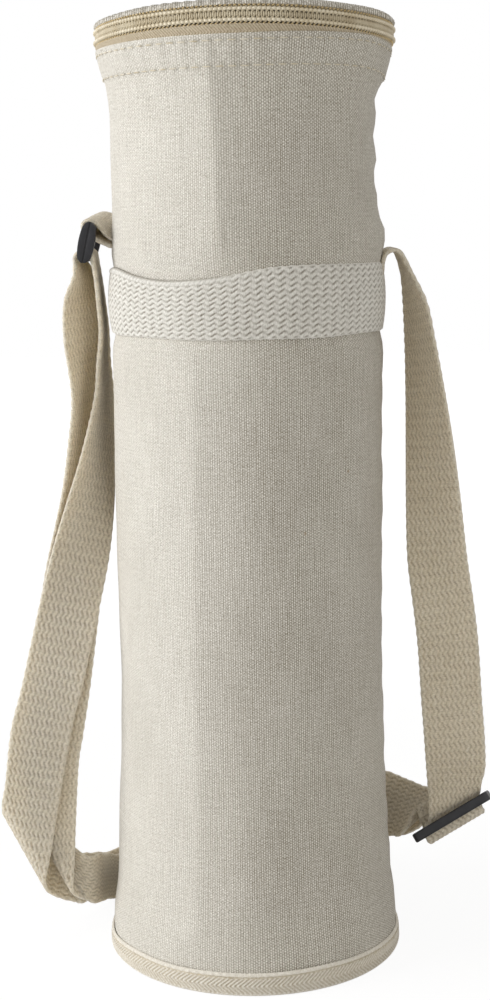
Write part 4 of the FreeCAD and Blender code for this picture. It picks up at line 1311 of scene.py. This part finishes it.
# %% Ring
rail_width = 3.6 * mm
ring_depth = ring_high.x - ring_low.x
ring_height = ring_high.z - ring_low.z
ring_length = ring_high.y - ring_low.y
groove = 0.35 * mm
ring_parts = []
for side in (-1, 1):
    rail = start_block("rail", (ring_depth, rail_width, ring_height))
    round_corners(rail, 1, rail_width, ring_depth * 0.45, 8)
    slice_block(rail, [((-groove, 0, 0), (1, 0, 0)), ((groove, 0, 0), (1, 0, 0))]
                + [((0, 0, level * mm), (0, 0, 1)) for level in np.arange(-6, 7, 1.5)])
    press_in(rail, lambda centre, normal: abs(normal.y) > 0.9 and abs(centre.x) < groove, 0.4 * mm)
    for point in rail.data.vertices:
        point.co.x *= 1.04 - 0.34 * (2 * point.co.z / ring_height) ** 2
    soften_edges(rail, 0.3 * mm, 2)
    put_at(rail, Matrix.Translation((0, side * (ring_length - rail_width) / 2, 0)))
    ring_parts.append(rail)
for level in (-1, 1):
    ring_parts.append(rod("bar", ring_bar, ring_length - rail_width, (0, 0, level * ring_drop[2]),
                          (math.pi / 2, 0, 0)))
ring = join_blocks(ring_parts)
ring.name = "strap_ring_moulded"
put_at(ring, Matrix.Translation(ring_place + ring_shift) @ Matrix.Rotation(ring_lean, 4, "Y"))
dress(ring, black_plastic, "strap", ["strap_ring"], 35)

# %% [markdown]
# ## The slide buckle
# A flat plate with one long opening and a round bar across its middle, which leaves the two
# slots that the strap runs through. It lies on a slant, so it is modelled flat at the origin
# and then turned into its place.

# %% Slide buckle
buckle_depth = 22.0 * mm
slot_length = webbing_width * slot_skew + 1.4 * mm
buckle_length = slot_length + 6.4 * mm
buckle_bar = 3.5 * mm
buckle = start_block("slide_buckle", (buckle_length, buckle_depth, 2 * plate_half))
round_corners(buckle, 2, 2 * plate_half, 1.8 * mm, 5)
cut_window(buckle, slot_length / 2, buckle_depth / 2 - buckle_bar)
soften_edges(buckle, 0.75 * mm, 4)
core = rod("core", core_bar, buckle_length - buckle_bar, (0, 0, 0), (0, math.pi / 2, 0))
buckle = join_blocks([buckle, core])
buckle_frame = Matrix.Identity(4)
for column, way in enumerate((bars_along, slots_along, face_out, buckle_place)):
    for row in range(3):
        buckle_frame[row][column] = way[row]
put_at(buckle, buckle_frame)
dress(buckle, black_plastic, "buckle", ["strap_buckle"], 35)


# %% [markdown]
# ## The zip
# A coil zip is a spiral of nylon sewn along the edge of a woven tape. Each coil here is one
# tube swept along a helix that runs round the mouth, about 1.8 mm from turn to turn. The
# turns' heads meet in the gap between the two coils, and a row of thread holds each coil to
# its tape. Both coils stop short at the back, where the lid is hinged.

# %% Zip coils
coil_pitch = 1.8 * mm
wire = 0.5 * mm
coil_start = math.radians(-232)
coil_end = math.radians(52)
coil_low, coil_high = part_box("zip_coil_lower")
upper_low, upper_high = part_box("zip_coil_upper")
coil_reach = (coil_high.z - coil_low.z) / 2
coil_radius = coil_high.x - 1.3 * mm
coil_turns = round((coil_end - coil_start) * coil_radius / coil_pitch)
helix_steps = 14
up = np.array([0, 0, 1.0])


def ring_frame(angle):
    away = np.stack([np.cos(angle), np.sin(angle), 0 * angle], -1)
    ahead = np.stack([-np.sin(angle), np.cos(angle), 0 * angle], -1)
    return away, ahead


def mouth_lift(angle):
    return front_rise(angle, np.full_like(angle, hem_top))


def tube(name, path, outward, sideways, radius, corners, along):
    """A closed tube along a path, with two directions across it at each point."""
    around = np.linspace(0, 2 * math.pi, corners + 1)
    ring_way = (outward[:, None, :] * np.cos(around)[None, :, None]
                + sideways[:, None, :] * np.sin(around)[None, :, None])
    places = path[:, None, :] + radius * ring_way
    shape = places.shape[:2]
    return lay_cloth(name, places, np.broadcast_to(along[:, None], shape),
                     np.broadcast_to(around * wire, shape), cap=True)


def coil(name, level, hand):
    count = coil_turns * helix_steps
    turn = 2 * math.pi * np.arange(count + 1) / helix_steps
    angle = np.linspace(coil_start, coil_end, count + 1)
    away, _ = ring_frame(angle)
    outward = away * np.cos(turn)[:, None] + up * (hand * np.sin(turn))[:, None]
    reach = coil_reach - wire
    path = away * coil_radius + outward * reach
    path[:, 2] += level + mouth_lift(angle)
    way = np.gradient(path, axis=0)
    way /= np.linalg.norm(way, axis=1)[:, None]
    return tube(name, path, outward, np.cross(way, outward), wire, 6, turn * reach)


def filler_cord(name, level):
    """The cord that fills the coil."""
    angle = np.linspace(coil_start, coil_end, 241)
    away, _ = ring_frame(angle)
    path = away * coil_radius
    path[:, 2] += level + mouth_lift(angle)
    upright = np.broadcast_to(up, away.shape)
    return tube(name, path, away, upright, coil_reach - 1.4 * wire, 10, angle * coil_radius)


lower_level = (coil_low.z + coil_high.z) / 2
upper_level = (upper_low.z + upper_high.z) / 2
gap_level = (coil_high.z + upper_low.z) / 2
zip_sides = (("lower", "bag", lower_level, 1), ("upper", "lid", upper_level, -1))
# The turns and the cords take the painted shade colour.
for side, body, level, hand in zip_sides:
    dress(coil("coil_" + side, level, hand), coil_painted_shade, body, ["zip_coil_" + side])
for side, body, level, hand in zip_sides:
    dress(filler_cord("cord_" + side, level), coil_painted_shade, body)

# %% [markdown]
# ## Thread
# A stitch is a short, plump length of thread, so it is modelled once, as a small stretched
# ball, and repeated along each row. All the stitches of a row end in one mesh.

# %% Thread and coil heads
def thread_row(name, places, ways, outs, length, thickness):
    deselect_all()
    bpy.ops.mesh.primitive_uv_sphere_add(segments=6, ring_count=5, radius=0.5)
    pattern = bpy.context.object
    ball = np.array([point.co for point in pattern.data.vertices])
    faces = [tuple(face.vertices) for face in pattern.data.polygons]
    bpy.ops.object.delete()
    sides = np.cross(ways, outs)
    points = (places[:, None, :] + ways[:, None, :] * ball[None, :, 2:3] * length
              + outs[:, None, :] * ball[None, :, 0:1] * thickness
              + sides[:, None, :] * ball[None, :, 1:2] * thickness)
    every_face = [tuple(corner + len(ball) * copy for corner in face)
                  for copy in range(len(places)) for face in faces]
    mesh = bpy.data.meshes.new(name)
    mesh.from_pydata(points.reshape(-1, 3).tolist(), [], every_face)
    piece = bpy.data.objects.new(name, mesh)
    bpy.context.scene.collection.objects.link(piece)
    sew_up(piece)
    return piece


def ring_angles(start, end, pitch, radius, shift=0.0):
    count = int((end - start) * radius / pitch)
    return start + (np.arange(count) + 0.5 + shift) * (end - start) / count


def zip_row(name, angle, reach, level, slope, size, finish, body):
    """A row of threads along the zip: slope says how far each runs ahead and how far up."""
    away, ahead = ring_frame(angle)
    places = away * reach
    places[:, 2] = level + mouth_lift(angle)
    ways = ahead * slope[0] + up * slope[1]
    return dress(thread_row(name, places, ways, away, *size), finish, body)


# Thread binds each turn of the coil in a lump: the bright beads of the zip. Upright heads of
# the turns fill the gap between the coils, and a slanted stitch holds each turn to its tape.
knot_size = (1.8 * mm, 1.4 * mm)
head_size = (2.6 * mm, 0.95 * mm)
stitch_size = (1.5 * mm, 0.7 * mm)
coil_angles = ring_angles(coil_start, coil_end, coil_pitch, coil_radius)
clear = math.radians(12.5)
for side, body, level, hand in zip_sides:
    zip_row("coil_knots_" + side, coil_angles, coil_radius + coil_reach - 0.3 * mm,
            level - hand * 0.1 * mm, (1, 0), knot_size, coil_nylon, body)
# The heads between the coils take the painted shade colour.
for (side, body, _, hand), shift in zip(zip_sides, (0.0, 0.5)):
    angle = ring_angles(coil_start, coil_end, coil_pitch, coil_radius, shift)
    angle = angle[(angle > coil_start + clear) & (angle < coil_end - clear)]
    zip_row("coil_heads_" + side, angle, coil_radius + 0.55 * mm, gap_level - hand * 0.15 * mm,
            (0, 1), head_size, coil_painted_shade, body)
# The stitches' darker golden colour paints the shade under each coil.
for (side, body, _, hand), edge in zip(zip_sides, (coil_low.z, upper_high.z)):
    zip_row("coil_stitch_" + side, coil_angles, coil_radius + 0.45 * mm, edge - hand * 0.1 * mm,
            (0.8, 0.6), stitch_size, coil_stitch_painted_shade, body)

# %% [markdown]
# ## Zip tapes
# Each coil sits on the edge of a herringbone tape. The lower tape runs down inside the hem,
# and only its top 4 mm show. The upper tape goes up under the lid's edge.

# %% Tapes
tape_thickness = 0.6 * mm
tape_low, tape_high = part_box("zip_tape_lower")
tape_rib = 1.25 * mm


def tape_ribs(angle, z, middle):
    turns = round(2 * math.pi * coil_radius / tape_rib)
    return np.cos(turns * angle + 2 * math.pi * 0.9 * np.abs(z - middle) / tape_rib)


levels = np.concatenate([np.linspace(tape_low.z, hem_top - mm, 6),
                         np.linspace(hem_top - 0.5 * mm, tape_high.z, 14)])
angle, z = round_grid(1000, levels)
ribs = tape_ribs(angle, z, hem_top + 1.2 * mm)
lower_tape = lay_cloth("tape_lower", wall_places(angle, z, foam_depth, 0.08 * mm * ribs),
                       angle * waist_radius, z, 0.5 + 0.5 * ribs)
thicken(lower_tape, tape_thickness)
dress(lower_tape, tape_cloth, "bag", ["zip_tape_lower"])

upper_tape_low, upper_tape_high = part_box("zip_tape_upper")
turned_in = [(0.0, 0.0), (0.0, 0.5), (0.0, 0.8), (0.25, 1.05), (1.0, 1.2), (2.0, 1.25), (2.8, 1.3)]
insets, rises = mm * np.array(turned_in).T
angle, z = round_grid(720, upper_tape_low.z + rises)
ribs = tape_ribs(angle, z, upper_tape_low.z)
reach = upper_tape_high.x - insets[None, :] + 0.06 * mm * ribs
places = round_places(angle, reach, z + mouth_lift(angle))
upper_tape = lay_cloth("tape_upper", places, angle * coil_radius, z, 0.5 + 0.5 * ribs)
thicken(upper_tape, tape_thickness)
dress(upper_tape, tape_cloth, "lid", ["zip_tape_upper"])

# %% [markdown]
# ## The lid
# The lid is a canvas disc with foam and lining behind it. Sewn round so tight a curve, its
# edge gathers into small puckers about 5 mm apart, and the disc stands up in a low dome.

# %% Lid
lid_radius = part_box("lid_panel")[1].x
gather_pitch = 5.0 * mm
pucker_count = round(2 * math.pi * lid_radius / gather_pitch)


def lid_wobble(angle, radius, z):
    edge = smooth((radius - lid_radius + 9 * mm) / (9 * mm)) * smooth((z - rim_level) / (1.2 * mm))
    drift = 0.7 * unevenness(angle, 0 * angle, 44, 6, 30 * mm)
    puckers = np.cos(pucker_count * angle + drift)
    swells = unevenness(angle, 0 * angle, 46, 6, 30 * mm)
    fuller = 1.6 * mm * np.clip(np.cos(angle + 0.2), 0, 1) * swell(radius - 46 * mm, 14 * mm)
    gathered = edge * mm * (0.34 * puckers + 0.2 * swells)
    z = z + mouth_lift(angle) * radius / lid_radius + gathered + fuller
    return radius + edge * mm * (0.38 * puckers - 0.15), z


rim_level = upper_high.z
lid_outline = [(0.0, 5.4), (10.0, 5.3), (20.0, 5.1), (30.0, 4.8), (40.0, 4.4), (48.0, 3.95), (54.0, 3.45),
               (57.5, 3.0), (59.4, 2.55), (60.4, 2.1), (61.0, 1.65), (61.3, 1.15), (61.35, 0.75),
               (61.1, 0.4), (60.5, 0.2)]
lid_rows = [(reach * mm, rim_level + rise * mm) for reach, rise in lid_outline]
lid_canvas = disc("canvas_lid", 460, lid_rows, lid_wobble)
thicken(lid_canvas, canvas_thickness * 0.8)
dress(lid_canvas, canvas, "lid", ["lid_panel"])


def lid_follow(angle, radius, z):
    return radius, z + mouth_lift(angle) * radius / lid_radius


foam_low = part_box("lid_foam")[0]
under_canvas = canvas_thickness + layer_gap
foam_radius = 57.0 * mm
foam_rows = [(reach, max(height - under_canvas, foam_low.z))
             for reach, height in lid_rows if reach < foam_radius]
foam_rows += [(foam_radius + 0.2 * mm, foam_low.z)] + flat_rows(foam_radius, foam_low.z)[::-1]
lid_padding = disc("lid_padding", 90, foam_rows, lid_follow)
dress(lid_padding, foam_cells, "lid", ["lid_foam"])
cover_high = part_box("lid_lining")[1]
cover_reach = cover_high.x - 2.2 * mm
lid_inside = disc("lining_lid", 120, flat_rows(cover_reach, cover_high.z), lid_follow)
thicken(lid_inside, lining_thickness)
dress(lid_inside, lining_cloth, "lid", ["lid_lining"])

# %% [markdown]
# ## The hinge at the back
# Where the zip stops short, a strip of canvas joins body and lid. Its lower edge meets the
# bag, its upper edge the lid, and it bulges out a little in between.

# %% Canvas hinge
hinge_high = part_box("hinge_patch_lower")[1]
hinge_half = math.radians(38.5)
hinge_top = rim_level + 0.9 * mm
hinge_foot = hem_top + 0.2 * mm
angle, z = round_grid(90, np.linspace(hinge_foot, hinge_top, 18), math.pi / 2 - hinge_half, 2 * hinge_half)
hinge_middle = (hinge_foot + hinge_top) / 2
fold = 0.5 * mm * swell(z - hinge_middle, 2.2 * mm)
hinge_radius = hinge_high.y - 0.6 * mm + fold + 0.12 * mm * unevenness(angle, z, 52, 6, 12 * mm)
places = round_places(angle, hinge_radius, z)
hinge = lay_cloth("canvas_hinge", places, angle * waist_radius, z)
thicken(hinge, canvas_thickness)
dress(hinge, canvas, None, ["hinge_patch_lower", "hinge_patch_upper"])
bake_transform(hinge)

# %% [markdown]
# ## Slider, pull and stops
# The slider hides at the back of the bag. It is a pair of small plates joined between the
# coils, with a bridge that holds the pull. Two metal stops end the zip.

# %% Slider and pull
slider_turn = Matrix.Rotation(math.radians(46), 4, "Z")
slider_low, slider_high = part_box("zip_slider")
slider_height = slider_high.z - slider_low.z
slider_middle = (slider_high.z + slider_low.z) / 2
plate_thickness = 1.4 * mm
outer_plate = coil_high.x + 0.6 * mm + plate_thickness / 2
inner_plate = coil_radius - 1.3 * mm - 0.6 * mm - plate_thickness / 2
slider_length = 10.2 * mm
slider_parts = []
for reach in (outer_plate, inner_plate):
    plate = start_block("plate", (plate_thickness, slider_length, slider_height))
    round_corners(plate, 0, plate_thickness, 2.2 * mm, 5)
    soften_edges(plate, 0.3 * mm, 2)
    put_at(plate, Matrix.Translation((reach, 0, slider_middle)))
    slider_parts.append(plate)
web = start_block("web", (outer_plate - inner_plate, 4.0 * mm, 0.5 * mm))
put_at(web, Matrix.Translation(((outer_plate + inner_plate) / 2, 0, gap_level)))
slider_parts.append(web)
bridge_reach = 3.0 * mm
bridge_width = 2.4 * mm
bridge_wall = 1.2 * mm
bridge = start_block("bridge", (bridge_reach + 0.7 * mm, 2 * bridge_reach, bridge_width))
cut_window(bridge, bridge_reach / 2 - 0.85 * mm, bridge_reach - bridge_wall)
soften_edges(bridge, 0.35 * mm, 3)
put_at(bridge, Matrix.Translation((outer_plate + bridge_reach / 2 + 0.35 * mm, 0, gap_level))
       @ Matrix.Rotation(math.pi / 2, 4, "X"))
slider_parts.append(bridge)
slider = join_blocks(slider_parts)
slider.name = "slider_body"
put_at(slider, slider_turn)
dress(slider, zip_metal, "slider", ["zip_slider"], 35)

pull_low, pull_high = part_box("zip_pull")
pull_length = pull_high.z - pull_low.z
pull_width = 7.0 * mm
pull_thickness = 1.0 * mm
pull = start_block("pull_tab", (pull_width, pull_length, pull_thickness))
round_corners(pull, 2, pull_thickness, 2.0 * mm, 6)
eye_high = pull_length / 2 - 1.2 * mm
eye_low = pull_length / 2 - 4.6 * mm
cut_window(pull, 1.6 * mm, (eye_high - eye_low) / 2, (eye_high + eye_low) / 2)
grip_low = -pull_length / 2 + 3 * mm
grip_high = pull_length / 2 - 8 * mm
grip_half = 2.0 * mm
slice_block(pull, [((0, grip_low, 0), (0, 1, 0)), ((0, grip_high, 0), (0, 1, 0)),
                   ((-grip_half, 0, 0), (1, 0, 0)), ((grip_half, 0, 0), (1, 0, 0))])
press_in(pull, lambda centre, normal: abs(normal.z) > 0.9 and abs(centre.x) < grip_half
         and grip_low < centre.y < grip_high, 0.2 * mm)
soften_edges(pull, 0.22 * mm, 2)
pull_reach = coil_high.x + 0.6 * mm + plate_thickness + 0.4 * mm + pull_thickness / 2
put_at(pull, slider_turn
       @ Matrix.Translation((pull_reach, 0, (pull_low.z + pull_high.z) / 2))
       @ Matrix.Rotation(math.pi / 2, 4, "Z") @ Matrix.Rotation(math.pi / 2, 4, "X"))
dress(pull, zip_metal, "pull", ["zip_pull"], 35)

stop_size = (2.6 * mm, 1.7 * mm, 2.7 * mm)
for side in ("right", "left"):
    stop_low, stop_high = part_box("zip_stop_" + side)
    middle = (stop_low + stop_high) / 2
    stop = start_block("stop_" + side, stop_size)
    soften_edges(stop, 0.45 * mm, 3)
    put_at(stop, Matrix.Translation(middle) @ Matrix.Rotation(math.atan2(middle.y, middle.x), 4, "Z"))
    dress(stop, zip_metal, "bag", ["zip_stop_" + side], 35)

# %% [markdown]
# ## Stitch rows
# Two rows hold the hem, one holds the binding and one closes the side seam. Each stitch of the
# hem lies in the dimple that its pull makes.

# %% Stitches
def hem_row(level):
    angle = 2 * math.pi * (np.arange(hem_stitches) + 0.5) / hem_stitches + math.pi / hem_stitches
    z = np.full_like(angle, level)
    places = canvas_places(angle, z, hem_relief(angle, z) + 0.06 * mm)
    away, ahead = ring_frame(angle)
    return places, ahead, away


hem_thread = [np.concatenate(rows) for rows in zip(*(hem_row(level) for level in hem_rows))]
hem_sewing = thread_row("stitches_hem", *hem_thread, 3.5 * mm, 0.55 * mm)
dress(hem_sewing, thread, "bag")

angle = ring_angles(0, 2 * math.pi, binding_pitch, binding_radius)
away, ahead = ring_frame(angle)
places = away * (binding_radius - 0.12 * mm)
places[:, 2] = 7.9 * mm + mm * round_profile(angle, edge_turns, edge_shifts)
binding_sewing = thread_row("stitches_binding", places, ahead, away, 2.2 * mm, 0.4 * mm)
dress(binding_sewing, thread, "bag")

seam_pitch = 3.6 * mm
seam_levels = np.concatenate([np.arange(14 * mm, band_low - 2 * mm, seam_pitch),
                              np.arange(band_top + 3 * mm, hem_top - 14 * mm, seam_pitch)])
seam_turn = np.full_like(seam_levels, seam_angle)
places = canvas_places(seam_turn, seam_levels, 0.05 * mm)
away, _ = ring_frame(seam_turn)
upright = np.broadcast_to(up, away.shape)
seam_sewing = thread_row("stitches_seam", places, upright, away, 2.5 * mm, 0.4 * mm)
dress(seam_sewing, thread, "bag")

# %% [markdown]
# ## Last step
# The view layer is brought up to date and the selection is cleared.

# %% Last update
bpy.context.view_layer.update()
deselect_all()
